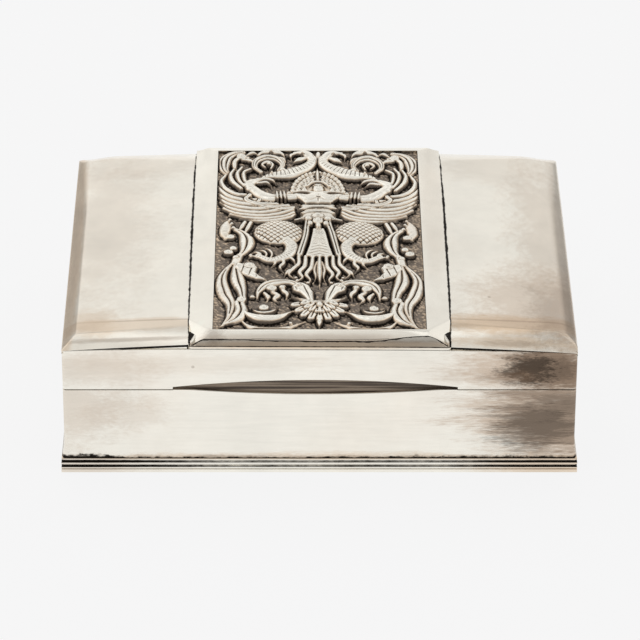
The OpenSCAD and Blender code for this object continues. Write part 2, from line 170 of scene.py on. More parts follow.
class TableBoxStage(bpy.types.PropertyGroup):
    """Camera, floor and light."""

    elevation: FloatProperty(
        name="Elevation", description="Height of the view over the table", default=math.radians(30.1),
        subtype="ANGLE",
    )
    distance: FloatProperty(
        name="Distance", description="Distance from the lid's front to the camera", default=1.4846,
        unit="LENGTH",
    )
    aim: FloatVectorProperty(
        name="Aim", description="Point that the camera looks at", default=(-0.00894, -0.05, 0.04938),
        subtype="TRANSLATION", unit="LENGTH",
    )
    lens: FloatProperty(name="Lens", description="Focal length on a 36 mm sensor", default=236.85)
    shift: FloatProperty(name="Shift", description="Sideways shift of the lens", default=0.0406)
    floor: FloatVectorProperty(
        name="Floor", description="Colour of the floor and backdrop", subtype="COLOR",
        default=(0.948, 0.948, 0.951)
    )
    softbox: FloatProperty(name="Softbox", description="Power of the light overhead, in watts", default=0.6)


# Mesh tools


def grid_faces(rows, cols, close_rows=False, close_cols=False):
    """Quads of a grid of points; the last row or column joins the first where it is closed."""
    i, j = np.meshgrid(
        np.arange(rows if close_rows else rows - 1), np.arange(cols if close_cols else cols - 1),
        indexing="ij",
    )
    k, m = (i + 1) % rows, (j + 1) % cols
    return np.stack([i * cols + j, i * cols + m, k * cols + m, k * cols + j], -1).reshape(-1, 4)


def make_piece(name, points, quads, rings=(), marks=None, sharp=40):
    """Mesh of quads and of end faces with more corners, smooth up to the angle sharp, in degrees."""
    mesh = bpy.data.meshes.new(name)
    loops = np.concatenate([np.asarray(quads).ravel()] + [np.asarray(r) for r in rings])
    sizes = np.concatenate([np.full(len(quads), 4), np.array([len(r) for r in rings], int)])
    starts = np.concatenate([[0], np.cumsum(sizes)[:-1]])
    mesh.vertices.add(len(points))
    mesh.vertices.foreach_set("co", (np.asarray(points, float) * MM).astype(np.float32).ravel())
    mesh.loops.add(len(loops))
    mesh.loops.foreach_set("vertex_index", loops.astype(np.int32))
    mesh.polygons.add(len(sizes))
    mesh.polygons.foreach_set("loop_start", starts.astype(np.int32))
    mesh.update(calc_edges=True)
    mesh.validate()
    for mark, values in (marks or {}).items():
        layer = mesh.attributes.new(mark, "FLOAT", "POINT")
        layer.data.foreach_set("value", np.asarray(values, np.float32).ravel())
    mesh.shade_smooth()
    mesh.set_sharp_from_angle(angle=math.radians(sharp))
    piece = bpy.data.objects.new(name, mesh)
    bpy.context.scene.collection.objects.link(piece)
    return piece


def finish_piece(piece, body, nodes, material):
    """Gives a piece its body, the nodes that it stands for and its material."""
    piece.data.materials.append(material)
    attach(piece, body)
    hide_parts(*nodes)


def smooth(low, high, value):
    """Cubic step from 0 at low to 1 at high."""
    t = np.clip((value - low) / (high - low), 0, 1)
    return t * t * (3 - 2 * t)


def soft_min(a, b, r):
    """Lesser of two heights, with the edge between them rounded over about r."""
    t = np.clip(0.5 + 0.5 * (b - a) / r, 0, 1)
    return b + (a - b) * t - r * t * (1 - t)


LATTICE = 97


def cloud(x, y, cell, seed):
    """Smooth noise from -1 to 1: random values on a lattice of that cell, blended by a cubic step."""
    table = np.random.default_rng(seed).uniform(-1, 1, (LATTICE, LATTICE))
    i, j = np.floor(x / cell).astype(int), np.floor(y / cell).astype(int)
    a, b = smooth(0, 1, x / cell - i), smooth(0, 1, y / cell - j)
    i0, i1, j0, j1 = i % LATTICE, (i + 1) % LATTICE, j % LATTICE, (j + 1) % LATTICE
    low = table[i0, j0] * (1 - a) + table[i1, j0] * a
    high = table[i0, j1] * (1 - a) + table[i1, j1] * a
    return low * (1 - b) + high * b


# Bars along the four sides: walls, plinth and rims


TURNS = {"front": 0, "right": 90, "back": 180, "left": 270}
OPEN_BEVEL = math.radians(51)


def turn(points, side):
    """Points of a bar drawn along the front, turned about Z to another side."""
    a = math.radians(TURNS[side])
    x = points[..., 0] * math.cos(a) - points[..., 1] * math.sin(a)
    y = points[..., 0] * math.sin(a) + points[..., 1] * math.cos(a)
    return np.stack([x, y, points[..., 2]], -1)


def open_room(points, lid):
    """Bevels the rear edges beside the hinge, by OPEN_BEVEL off the level through its axis, up or down."""
    z = points[..., 2]
    fall = math.tan(OPEN_BEVEL) * np.maximum(points[..., 1] - AXIS_Y, 0)
    points[..., 2] = np.maximum(z, AXIS_Z + fall) if lid else np.minimum(z, AXIS_Z - fall)
    return points


def run_along(half, radius, stations):
    """Path of half a corner, a straight stretch and half a corner: centre, direction and angle.

    Each station gives the point from which an offset is measured and the unit vector of that offset.
    The stretch is straight up to radius from the corner, then turns 45 degrees about its centre.
    """
    steps = 7
    bend = np.radians(np.linspace(0, 45, steps))
    straight = np.asarray(stations)
    straight = straight[np.abs(straight) < half - radius - 0.01]
    flat = np.concatenate([[-(half - radius)], straight, [half - radius]])
    angle = np.concatenate([-bend[:0:-1], np.zeros(len(flat)), bend[1:]])
    centre = np.concatenate([np.full(steps - 1, flat[0]), flat, np.full(steps - 1, flat[-1])])
    return centre, angle


def side_bar(name, side, profile, radius, stations, shape=None, marks=None, sharp=40, lid=False):
    """Bar with a closed profile of (out, up) points, carried along one side and mitred at its ends.

    A point lies at centre + (radius + out) * (sin a, -cos a), where a turns through half a corner at
    each end. With no radius the profile is stretched to the mitre instead.
    shape(along, out, up) may change the heights and offsets first.
    """
    half, base = (HALF_W, HALF_D) if side in ("front", "back") else (HALF_D, HALF_W)
    profile = np.asarray(profile, float)
    if radius > 0:
        centre, angle = run_along(half, radius, stations)
        along = centre[:, None] + radius * np.sin(angle)[:, None]
    else:
        stations = np.asarray(stations)
        centre = np.concatenate([[-half], stations[np.abs(stations) < half - 3], [half]])
        angle = np.zeros(len(centre))
        along = centre[:, None]
    along = along + 0 * profile[None, :, 0]
    out = profile[None, :, 0] + 0 * along
    up = profile[None, :, 1] + 0 * along
    if shape:
        out, up = shape(along, out, up)
    if radius > 0:
        x = centre[:, None] + (radius + out) * np.sin(angle)[:, None]
        y = -(base - radius) - (radius + out) * np.cos(angle)[:, None]
    else:
        ends = np.zeros(len(centre))
        ends[0], ends[-1] = -1, 1
        x = centre[:, None] + ends[:, None] * out
        y = -base - out
    points = open_room(turn(np.stack([x, y, up], -1), side), lid)
    rows, cols = points.shape[:2]
    quads = grid_faces(rows, cols, close_cols=True)
    rings = (np.arange(cols)[::-1], (rows - 1) * cols + np.arange(cols))
    values = {key: rule(along, out, up) for key, rule in (marks or {}).items()}
    return make_piece(name, points.reshape(-1, 3), quads, rings, values, sharp)


def rounded(points, radii, steps=5):
    """Closed outline through the points, with each corner rounded by a quadratic curve of its radius."""
    points = np.asarray(points, float)
    outline = []
    for i, (p, r) in enumerate(zip(points, radii)):
        before, after = points[i - 1] - p, points[(i + 1) % len(points)] - p
        if r <= 0:
            outline.append(p[None])
            continue
        a = p + before / np.hypot(*before) * min(r, np.hypot(*before) / 2)
        b = p + after / np.hypot(*after) * min(r, np.hypot(*after) / 2)
        t = np.linspace(0, 1, steps)[:, None]
        outline.append((1 - t) ** 2 * a + 2 * t * (1 - t) * p + t ** 2 * b)
    return np.concatenate(outline)


# Base: flared foot of the walls, and the reeds and ledge of the plinth
COVE_H = 9.0
COVE_OUT = 0.9
COVE_R = (COVE_H ** 2 + COVE_OUT ** 2) / (2 * COVE_OUT)
REED_R = 0.8
REED_ARC = 78
REEDS = (1.85, 3.7)
LEDGE_T = 0.5
LEDGE_OUT = 1.05

# Thumb slot, and the room for the hinge at the back
SLOT_X = -1.5
SLOT_STEP = 0.9
SLOT_BAND = 9.0
HINGE_ROOM = 1.8
HINGE_BAND = 8.0
EDGE_BAND = 0.9


def stations_of(side, half):
    """Places along a side, doubled where its edge steps: at the ends of the slot or beside the hinge."""
    stations = np.arange(-87, 88, 1.5)
    if side in ("left", "right"):
        return stations
    breaks = SLOT_X + half * np.array([-1, 1]) if side == "front" else np.array([-LEAF_X, LEAF_X])
    return np.sort(np.concatenate([stations, breaks - 0.02, breaks + 0.02]))


def edge_shape(context, side, seed, level, way, slot):
    """Shape rule of a wall (way -1) or a rim (way 1), whose edge at the seam lies at level.

    The sheet gets its hammered unevenness. The back edge gives way to the hinge, and the front edge
    follows the arc of the slot: slot holds half its length and the edge's shift at its ends and middle.
    """
    uneven = context.scene.table_box_sizes.wave / MM
    half, end, middle = slot

    def shape(along, out, up):
        fade = 1 - (np.abs(along) / np.abs(along).max()) ** 8
        dents = cloud(along, up, 31, seed) + 0.4 * cloud(along, up, 11, seed + 1)
        out = out + fade * uneven * dents
        depth = way * (up - level)
        if side == "back":
            room = (way * (AXIS_Z - level) + HINGE_ROOM) * (np.abs(along) < LEAF_X)
            up = up + way * room * (1 - smooth(EDGE_BAND, HINGE_BAND, depth))
        if side == "front":
            t = (along - SLOT_X) / half
            shift = np.where(np.abs(t) < 1, middle + (end - middle) * t * t, 0)
            up = up + shift * np.where(depth < EDGE_BAND, 1, 0.96 * (1 - smooth(0, SLOT_BAND, depth)))
            if way > 0:
                up = up + rim_top(along) * smooth(level + 6, LID_Z - 0.6, up)
        return out, up

    return shape


def wall_profile(sizes):
    """Base wall as (out, up), anticlockwise seen with the outside on the right: foot, face and top."""
    t = sizes.sheet / MM
    z = PLINTH_Z + np.concatenate([np.linspace(0, 2, 7), np.linspace(2.8, COVE_H, 8)])
    out = COVE_R - np.sqrt(COVE_R ** 2 - (PLINTH_Z + COVE_H - z) ** 2)
    face = np.stack([out, z], -1)
    upper = np.stack([np.zeros(5), np.linspace(PLINTH_Z + COVE_H + 1, SEAM_Z - 0.8, 5)], -1)
    r = sizes.edge_radius / MM
    top = rounded([(0, SEAM_Z - 0.8), (0, SEAM_Z), (-t, SEAM_Z), (-t, SEAM_Z - 0.8)], (0, r, r, 0))
    back = np.stack([np.full(2, -t), [PLINTH_Z + COVE_H, PLINTH_Z]], -1)
    back[1, 0] = COVE_OUT - t
    return np.concatenate([face, upper, top[1:], back])


def wall_grime(along, out, up):
    """Black oxide along the foot of a wall: it fades upwards over a reach that changes along the wall."""
    reach = 1.0 + 0.4 * cloud(along, 0 * along, 13, 3) + 0.9 * smooth(-62, -84, along)
    level = 0.98 + 0.1 * cloud(along, 0 * along, 5, 4)
    return level * np.exp(-(up - PLINTH_Z) / np.maximum(reach, 0.35)) * (out > -0.5)


def plinth_profile():
    """Reeded wire as (out, up): two half-round reeds under a flat ledge."""
    reed_out = PLINTH_X - HALF_W - REED_R
    rows = [np.array([(-1.0, FLOOR_T), (reed_out, FLOOR_T)])]
    for mid in REEDS:
        a = np.radians(np.linspace(-REED_ARC, REED_ARC, 17))
        ring = np.stack([reed_out + REED_R * np.cos(a), mid + REED_R * np.sin(a)], -1)
        rows.append(ring[ring[:, 1] > FLOOR_T])
    ledge = [(reed_out + 0.1, PLINTH_Z - LEDGE_T - 0.05), (LEDGE_OUT, PLINTH_Z - LEDGE_T),
             (LEDGE_OUT, PLINTH_Z), (-1.0, PLINTH_Z)]
    rows.append(rounded(ledge, (0, 0.15, 0.2, 0)))
    return np.concatenate(rows)


def plinth_reflection_and_shade(along, out, up):
    """Painted reflection and shade on the wire: dark on the reeds' upper halves, which face the dark room in
    front, painted shade with oxide in the grooves over them, and a lighter mark on the ledge's top, changing
    along the wire.
    """
    patch = 0.6 + 0.1 * cloud(along, 0 * up, 16, 8) + 0.3 * smooth(40, 88, np.abs(along))
    grime_and_shade = 0 * up
    # Painted dark reflection on each reed's upper half, and painted shade in the groove above it.
    for mid in REEDS:
        grime_and_shade = np.maximum(grime_and_shade, smooth(mid - 0.05, mid + 0.45, up) * (up < mid + 0.95))
    ledge = 0.3 * (up > PLINTH_Z - 0.1)
    return (grime_and_shade * patch + ledge) * (up > FLOOR_T + 0.05)


class TABLEBOX_OT_base(bpy.types.Operator):
    """Makes the four walls of the base, the front one with the lower edge of the thumb slot"""

    bl_idname = "tablebox.base"
    bl_label = "Base Walls"

    def execute(self, context):
        sizes = context.scene.table_box_sizes
        half = sizes.slot_length / MM / 2
        slot = (half, SLOT_STEP - 0.2, -sizes.slot_dip / MM)
        material = polished_silver(context, "base_silver", BASE_STAINS, rough=0.15)
        for seed, side in enumerate(TURNS):
            piece = side_bar(
                f"wall_{side}", side, wall_profile(sizes), sizes.corner_radius / MM, stations_of(side, half),
                edge_shape(context, side, 20 + seed, SEAM_Z, -1, slot), {"grime_and_shade": wall_grime},
            )
            finish_piece(piece, "base", [f"base_{side}"], material)
        return {"FINISHED"}


class TABLEBOX_OT_plinth(bpy.types.Operator):
    """Makes the four lengths of reeded wire around the foot, and finishes the bottom plate"""

    bl_idname = "tablebox.plinth"
    bl_label = "Plinth"

    def execute(self, context):
        material = polished_silver(context, "plinth_silver", PLINTH_STAINS, rough=0.12, tear=0.5)
        for side in TURNS:
            piece = side_bar(
                f"reeds_{side}", side, plinth_profile(), 0, np.arange(-88, 89, 2.0), self.shape,
                {"grime_and_shade": plinth_reflection_and_shade}, sharp=50,
            )
            finish_piece(piece, "base", [f"plinth_{side}"], material)
        set_material("base_floor", material)
        return {"FINISHED"}

    @staticmethod
    def shape(along, out, up):
        """Slight unevenness of the drawn wire, on its outer side only."""
        return out + 0.03 * cloud(along, up, 6, 12) * (out > 0), up


# Lid: rims and side panels
RIM_ARCH = 1.0
RIM_TILT = 0.5
LIP = 1.9
ROLL_D = 14.0
ROLL_R = 45.0
ROLL_LIP = 1.2
SIDE_ROLL = 4.0
SIDE_LIP = 0.5
SIDE_DROP = 2.6
VAULT_R = 1500.0
VAULT_H = 6.1
UNDERCUT = 0.45
GAPE = 0.75
SEAM_BOW = 0.7


def rim_top(x):
    """Height of the front rim's upper edge over its corners: a flat arch, lower towards the right."""
    return RIM_ARCH * (1 - (x / HALF_W) ** 4) - RIM_TILT * x / HALF_W


def rim_profile(sizes):
    """Rim as (out, up): a flat strip with worn edges."""
    t, r = sizes.sheet / MM, sizes.edge_radius / MM
    rows = np.linspace(RIM_Z + 1, LID_Z - 1, 8)
    face = rounded(
        [(0, RIM_Z + 1), (0, LID_Z - 1), (0, LID_Z), (-t, LID_Z), (-t, RIM_Z), (0, RIM_Z)],
        (0, 0, 1.4 * r, r, r, r),
    )
    middle = np.stack([np.zeros(6), rows[1:-1]], -1)
    return np.concatenate([face[:1], middle, face[1:]])


class TABLEBOX_OT_rims(bpy.types.Operator):
    """Makes the four rims of the lid, the front one with the arched cut of the thumb slot"""

    bl_idname = "tablebox.rims"
    bl_label = "Lid Rims"

    def execute(self, context):
        sizes = context.scene.table_box_sizes
        half = sizes.slot_length / MM / 2 + 0.1
        slot = (half, SLOT_STEP, sizes.slot_rise / MM)
        material = polished_silver(context, "rim_silver", RIM_STAINS, rough=0.15)
        for seed, side in enumerate(TURNS):
            piece = side_bar(
                f"band_{side}", side, rim_profile(sizes), sizes.corner_radius / MM, stations_of(side, half),
                edge_shape(context, side, 40 + seed, RIM_Z, 1, slot),
                {"grime_and_shade": lambda along, out, up: 0 * up}, lid=True,
            )
            finish_piece(piece, "lid", [f"rim_{side}"], material)
        return {"FINISHED"}


def roll_arc(d):
    """Height over the rim of the front and back rolls, at a depth d from the edge: an arc of ROLL_R."""
    a = np.array([0.0, ROLL_LIP])
    b = np.array([ROLL_D, vault(STRAP_X) + 0.2])
    chord = b - a
    length = np.hypot(*chord)
    lift = math.sqrt(ROLL_R ** 2 - length ** 2 / 4)
    centre = (a + b) / 2 + lift * np.array([chord[1], -chord[0]]) / length
    inside = np.minimum(d, ROLL_D)
    return centre[1] + np.sqrt(ROLL_R ** 2 - (inside - centre[0]) ** 2) + (d - inside)


def vault(x):
    """Height of the vault over the rim, at a distance x from the middle."""
    return VAULT_H - VAULT_R + np.sqrt(VAULT_R ** 2 - x ** 2)


def panel_top(x, y):
    """Height of a side panel over the rim: the vault, cut by a roll along each of its outer edges."""
    d = HALF_D - np.abs(y)
    e = HALF_W - np.abs(x)
    lip = lip_height(x, y)
    front = roll_arc(d) + (lip - ROLL_LIP) * np.clip(1 - d / ROLL_D, 0, 1)
    rear = smooth(20, HALF_D, y)
    side = SIDE_LIP + rear + SIDE_DROP * np.clip(e / SIDE_ROLL, 0, None) ** np.where(x < 0, 0.86, 0.72)
    crisp = np.where(x < 0, 0.25, 0.9) + 0.9 * rear
    fall = 1.3 * (1 - smooth(2, 15, e)) * rear
    return soft_min(soft_min(vault(x), front, 0.12), side, crisp) - fall


def lip_height(x, y):
    """Height of the upright lip under the rolls: highest at the strap and nothing at the corners."""
    share = np.clip((HALF_W - np.abs(x)) / (HALF_W - STRAP_X), 0, 1)
    front = share * (LIP - 0.5 * (x > 0)) + rim_top(x)
    return np.where(y < 0, front, 1.7 + 1.4 * share)


class TABLEBOX_OT_panels(bpy.types.Operator):
    """Makes the two vaulted side panels of the lid, with rolled edges over an upright lip"""

    bl_idname = "tablebox.panels"
    bl_label = "Side Panels"

    def execute(self, context):
        sizes = context.scene.table_box_sizes
        t = sizes.sheet / MM
        material = polished_silver(context, "panel_silver", PANEL_STAINS_AND_REFLECTIONS, rough=0.16)
        x = np.concatenate([
            STRAP_X + np.array([0, 0.35, 0.7]), np.linspace(STRAP_X + 1.1, 84, 64),
            np.linspace(84.2, HALF_W, 30),
        ])
        y = np.concatenate([
            np.linspace(-HALF_D, -54, 76), np.linspace(-53, 53, 60), np.linspace(54, HALF_D, 76),
        ])
        for name, sign in (("left", -1), ("right", 1)):
            gx, gy = np.meshgrid(sign * x, y, indexing="ij")
            z = panel_top(gx, gy) + 0.05 * cloud(gx, gy, 23, 60 + sign) * (x[:, None] < 80)
            seam = 0.12 * cloud(gy, gx * 0, 5, 70 + sign) + SEAM_BOW * (1 - (gy / HALF_D) ** 2)
            gx = gx + sign * seam * (1 - smooth(STRAP_X, STRAP_X + 12, np.abs(gx)))
            points, grime_and_shade, quads = shell_of(gx, gy, z, t)
            piece = make_piece(f"panel_{name}", points, quads, marks={"grime_and_shade": grime_and_shade}, sharp=38)
            finish_piece(piece, "lid", [f"{name}_panel"], material)
        return {"FINISHED"}


def shell_of(gx, gy, z, t):
    """Closed shell of a panel's grid: its top, an undercut lip along the free edges and an inner side.

    The rows run from the seam outwards. Below the top's border the lip lies back by UNDERCUT, over a gap
    that is GAPE high at the strap; along the front and back edges the gap and the border's lower edge are
    painted black as shade under the roll. The inner side lies one sheet below the top. Returns the points,
    their marks and the quads.
    """
    rows, cols = z.shape
    ring = border_of(rows, cols)
    bx, by, bz = gx.ravel()[ring], gy.ravel()[ring], z.ravel()[ring]
    end = np.abs(by) > HALF_D - 0.01
    sx = np.sign(gx.mean() - bx) * (np.abs(bx) > HALF_W - 0.01)
    sy = -np.sign(by) * end * (np.abs(bx) > STRAP_X + 0.3)
    lip_z = np.where(by < -HALF_D + 0.01, rim_top(bx) - 0.3, -0.1)
    share = np.clip((HALF_W - np.abs(bx)) / (HALF_W - STRAP_X), 0, 1)
    gape = GAPE * share + 0.15 * cloud(bx, by, 4, 66)
    layers, marks = [], []
    # Marks of the layers under the border: black in the undercut gap is painted shade under the roll's edge,
    # on the front and back edges only.
    for inset, height, grime_and_shade in (
        (0.0, bz - 0.12, 0.35), (0.22, bz - 0.2, 1.0), (UNDERCUT, bz - 0.3 - gape, 1.0),
        (UNDERCUT, bz - 0.5 - gape, 0.2), (UNDERCUT, lip_z, 0.0), (t, lip_z, 0.0), (t, bz - t, 0.0),
    ):
        dx = sx * inset * np.where(end, 1, 0.25)
        dy = sy * inset * np.where(end, 1, 0.001)
        layers.append(np.stack([bx + dx, by + dy, LID_Z + np.maximum(height, lip_z)], -1))
        marks.append(np.full(len(ring), grime_and_shade) * (sy != 0))
    top = np.stack([gx, gy, LID_Z + z], -1).reshape(-1, 3)
    points = np.concatenate([top] + layers + [top - [0, 0, t]])
    level = 0.78 + 0.14 * (gx > 0) + 0.1 * smooth(0, -HALF_D, gy)
    near_seam = level * (1 - smooth(0.0, 0.75, np.abs(np.abs(gx) - np.abs(gx[:1]))))
    marks = np.concatenate([near_seam.ravel()] + marks + [np.zeros(len(top))])
    n, m = len(top), len(ring)
    loops = [ring] + [n + k * m + np.arange(m) for k in range(len(layers))] + [n + len(layers) * m + ring]
    quads = [grid_faces(rows, cols)]
    for a, b in zip(loops[:-1], loops[1:]):
        quads.append(np.stack([a, b, np.roll(b, -1), np.roll(a, -1)], -1))
    quads.append(grid_faces(rows, cols)[:, ::-1] + n + len(layers) * m)
    quads = np.concatenate(quads)
    return points, marks, quads[:, ::-1] if gx[-1, 0] < gx[0, 0] else quads


def border_of(rows, cols):
    """Indices round the edge of a grid, the way that puts the outside of a skirt outwards."""
    index = np.arange(rows * cols).reshape(rows, cols)
    return np.concatenate([index[0, :-1], index[:-1, -1], index[-1, :0:-1], index[:0:-1, 0]])


# Strap over the middle of the lid
BEVEL_W = 7.5
BEVEL_D = 3.3
EDGE_H = 5.76
CREASE_H = 5.1
CREASE_IN = 5.5
CORNER_H = 2.0
CORNER_D = 12.0
LEDGE_W = 0.6
FOOT_H = 1.0
FRONT_LEAN = math.tan(math.radians(18))


def plane_height(a, b, c, x, y):
    """Height at (x, y) of the plane through three points."""
    n = np.cross(np.subtract(b, a), np.subtract(c, a))
    return a[2] - (n[0] * (x - a[0]) + n[1] * (y - a[1])) / n[2]


def crease_at(x):
    """Height over the rim of the crease between front bevel and front face: it sags in the middle."""
    return 4.0 + 0.6 * smooth(0, -36, x) + 1.9 * smooth(16, 39, x)


def strap_top(px, py):
    """Height of the strap over the rim: the least of its flat, its bevels and its front corner facets."""
    x, y = np.abs(px), np.abs(py)
    flat = STRAP_Z - LID_Z
    fx, fy = STRAP_X - BEVEL_W, STRAP_Y - BEVEL_D
    ridge = (fx, fy, flat)
    crease = (STRAP_X - CREASE_IN, STRAP_Y, CREASE_H)
    climb = (STRAP_X, STRAP_Y - CORNER_D, EDGE_H)
    foot = (STRAP_X, STRAP_Y, CORNER_H)
    side = flat - (flat - EDGE_H) / BEVEL_W * (x - fx)
    depth = np.clip((y - fy) / BEVEL_D, 0, 1)
    front = flat - (flat - crease_at(px)) * depth ** 1.3 + 3 * (y < fy)
    rear = flat - (flat - EDGE_H) / BEVEL_D * (y - fy)
    side = side - 1.2 * smooth(STRAP_X - 8, STRAP_X, x) * smooth(40, STRAP_Y, py)
    z = soft_min(side, np.where(py < 0, front, rear), 0.25)
    facets = soft_min(plane_height(ridge, crease, climb, x, y), plane_height(crease, climb, foot, x, y), 0.3)
    z = soft_min(z, np.where(py < 0, facets, facets + 9), 0.2)
    return soft_min(z, flat, 0.12)


class TABLEBOX_OT_strap(bpy.types.Operator):
    """Makes the strap: a frame with sloping borders and upright ends around the relief"""

    bl_idname = "tablebox.strap"
    bl_label = "Strap"

    def execute(self, context):
        material = polished_silver(context, "strap_silver", STRAP_STAINS_AND_REFLECTIONS, rough=0.14)
        wx, wy = STRAP_X - BEVEL_W - LEDGE_W, STRAP_Y - BEVEL_D - LEDGE_W
        s = np.concatenate([
            side_steps((-wx, -wy), (wx, -wy), 150), side_steps((wx, -wy), (wx, wy), 260),
            side_steps((wx, wy), (-wx, wy), 150), side_steps((-wx, wy), (-wx, -wy), 260),
        ])
        outer = s * np.array([STRAP_X / wx, STRAP_Y / wy])
        t = np.concatenate([np.linspace(0, 0.09, 4), np.linspace(0.14, 0.92, 26), np.linspace(0.94, 1, 6)])
        top = s[None] * (1 - t[:, None, None]) + outer[None] * t[:, None, None]
        x, y = top[..., 0], top[..., 1]
        z = strap_top(x, y) + 0.05 * cloud(x, y, 17, 81) * smooth(0, 0.3, t)[:, None]
        z = z + 0.12 * cloud(x, y, 3.1, 82) * smooth(0.8, 0.97, t)[:, None] * (np.abs(y) > STRAP_Y - 3)
        y = y + FRONT_LEAN * np.maximum(z[-1:] - CORNER_H, 0) * smooth(0.86, 1, t)[:, None] * (y < -wy)
        bow = SEAM_BOW * (1 - (y / STRAP_Y) ** 2) + 0.1 * cloud(y, x * 0, 4, 83)
        x = x + np.sign(x) * bow * smooth(0.6, 1, t)[:, None] * (np.abs(x) > wx)
        seam = np.where(np.abs(y) < STRAP_Y - CORNER_D, 0.7, 0.2)
        grime_and_shade = 0.9 * smooth(STRAP_X + 0.3 - seam, STRAP_X + 0.5, np.abs(x)) * (np.abs(y) < STRAP_Y - 1)
        rows, marks = self.skirt(x[-1], y[-1], z[-1])
        window = np.column_stack([s, np.full(len(s), GROUND_Z - 0.3)])
        points = np.concatenate(
            [np.stack([x, y, LID_Z + z], -1)] + rows + [window[None] * [1.02, 1.01, 1], window[None]]
        )
        # The rows of the window get the marks 0 and 1, so its inner wall darkens towards its foot.
        marks = np.concatenate([grime_and_shade] + marks + [np.zeros((1, len(s))), np.ones((1, len(s)))])
        quads = grid_faces(points.shape[0], points.shape[1], close_rows=True, close_cols=True)
        piece = make_piece("strap", points.reshape(-1, 3), quads[:, ::-1], marks={"grime_and_shade": marks}, sharp=32)
        finish_piece(piece, "lid", ["strap_frame"], material)
        return {"FINISHED"}

    def skirt(self, x, y, z):
        """Rows below the border: a crease painted black as shade under the border's overhang, partly a solder
        line, the upright face and a foot that flares to the rim.

        Each row has its share of the front's lean, its inset, its height and its mark. The crease is a
        little ragged along the front.
        """
        ends = (np.abs(y) > STRAP_Y - 0.05) | ((y < 0) & (np.abs(x) < STRAP_X - 0.05))
        low = np.where(y < 0, rim_top(x), 0.0)
        lean = np.where(y < 0, STRAP_Y - np.abs(y), 0)
        torn = 0.25 * np.clip(0.6 + 1.4 * cloud(x, 0 * x, 1.5, 85), 0.1, 1.4) * (y < 0)
        rows, marks = [], []
        # Marks of the rows: the crease under the border is painted black as shade under its overhang, partly a
        # solder line; dark lines lie in the corner over the foot and at its joint with the rim; the side
        # skirts, against the panels, are dark.
        for share, inset, height, grime_and_shade in (
            (1, 0.02, z - 0.08, 0.9), (0.96, 0.04, z - 0.25 - 0.6 * torn, 0.9),
            (0.9, 0, z - 0.5 - 0.7 * torn, 0.25), (0.1, 0, low + FOOT_H + 0.2, 0.0),
            (0, 0.0, low + FOOT_H, 1.0), (0, -0.2, low + FOOT_H - 0.1, 0.7),
            (0, -0.3, low + FOOT_H - 0.2, 0.0), (0, -0.32, low + 0.14, 0.0), (0, -0.28, low + 0.02, 0.9),
            (0, -0.1, low - 0.3, 0.9), (0, 1.2, low - 0.3, 0.0), (0, 1.2, z - 1.6, 0.0),
        ):
            height = np.minimum(height, z - 0.05)
            dx = np.where(ends, 0, np.sign(x) * np.maximum(inset, 0) * 0.5)
            dy = np.where(ends, np.sign(y) * inset * np.clip((STRAP_X - np.abs(x)) / 1.2, 0, 1), 0)
            rows.append(np.stack([x - dx, y - dy - lean * (1 - share), LID_Z + height], -1)[None])
            marks.append(np.where(ends, grime_and_shade, 0.9 * smooth(STRAP_Y - 13, STRAP_Y - 18, -y))[None])
        return rows, marks


def side_steps(a, b, count):
    """Points from a up to b, without b."""
    t = np.linspace(0, 1, count, endpoint=False)[:, None]
    return np.array(a) * (1 - t) + np.array(b) * t


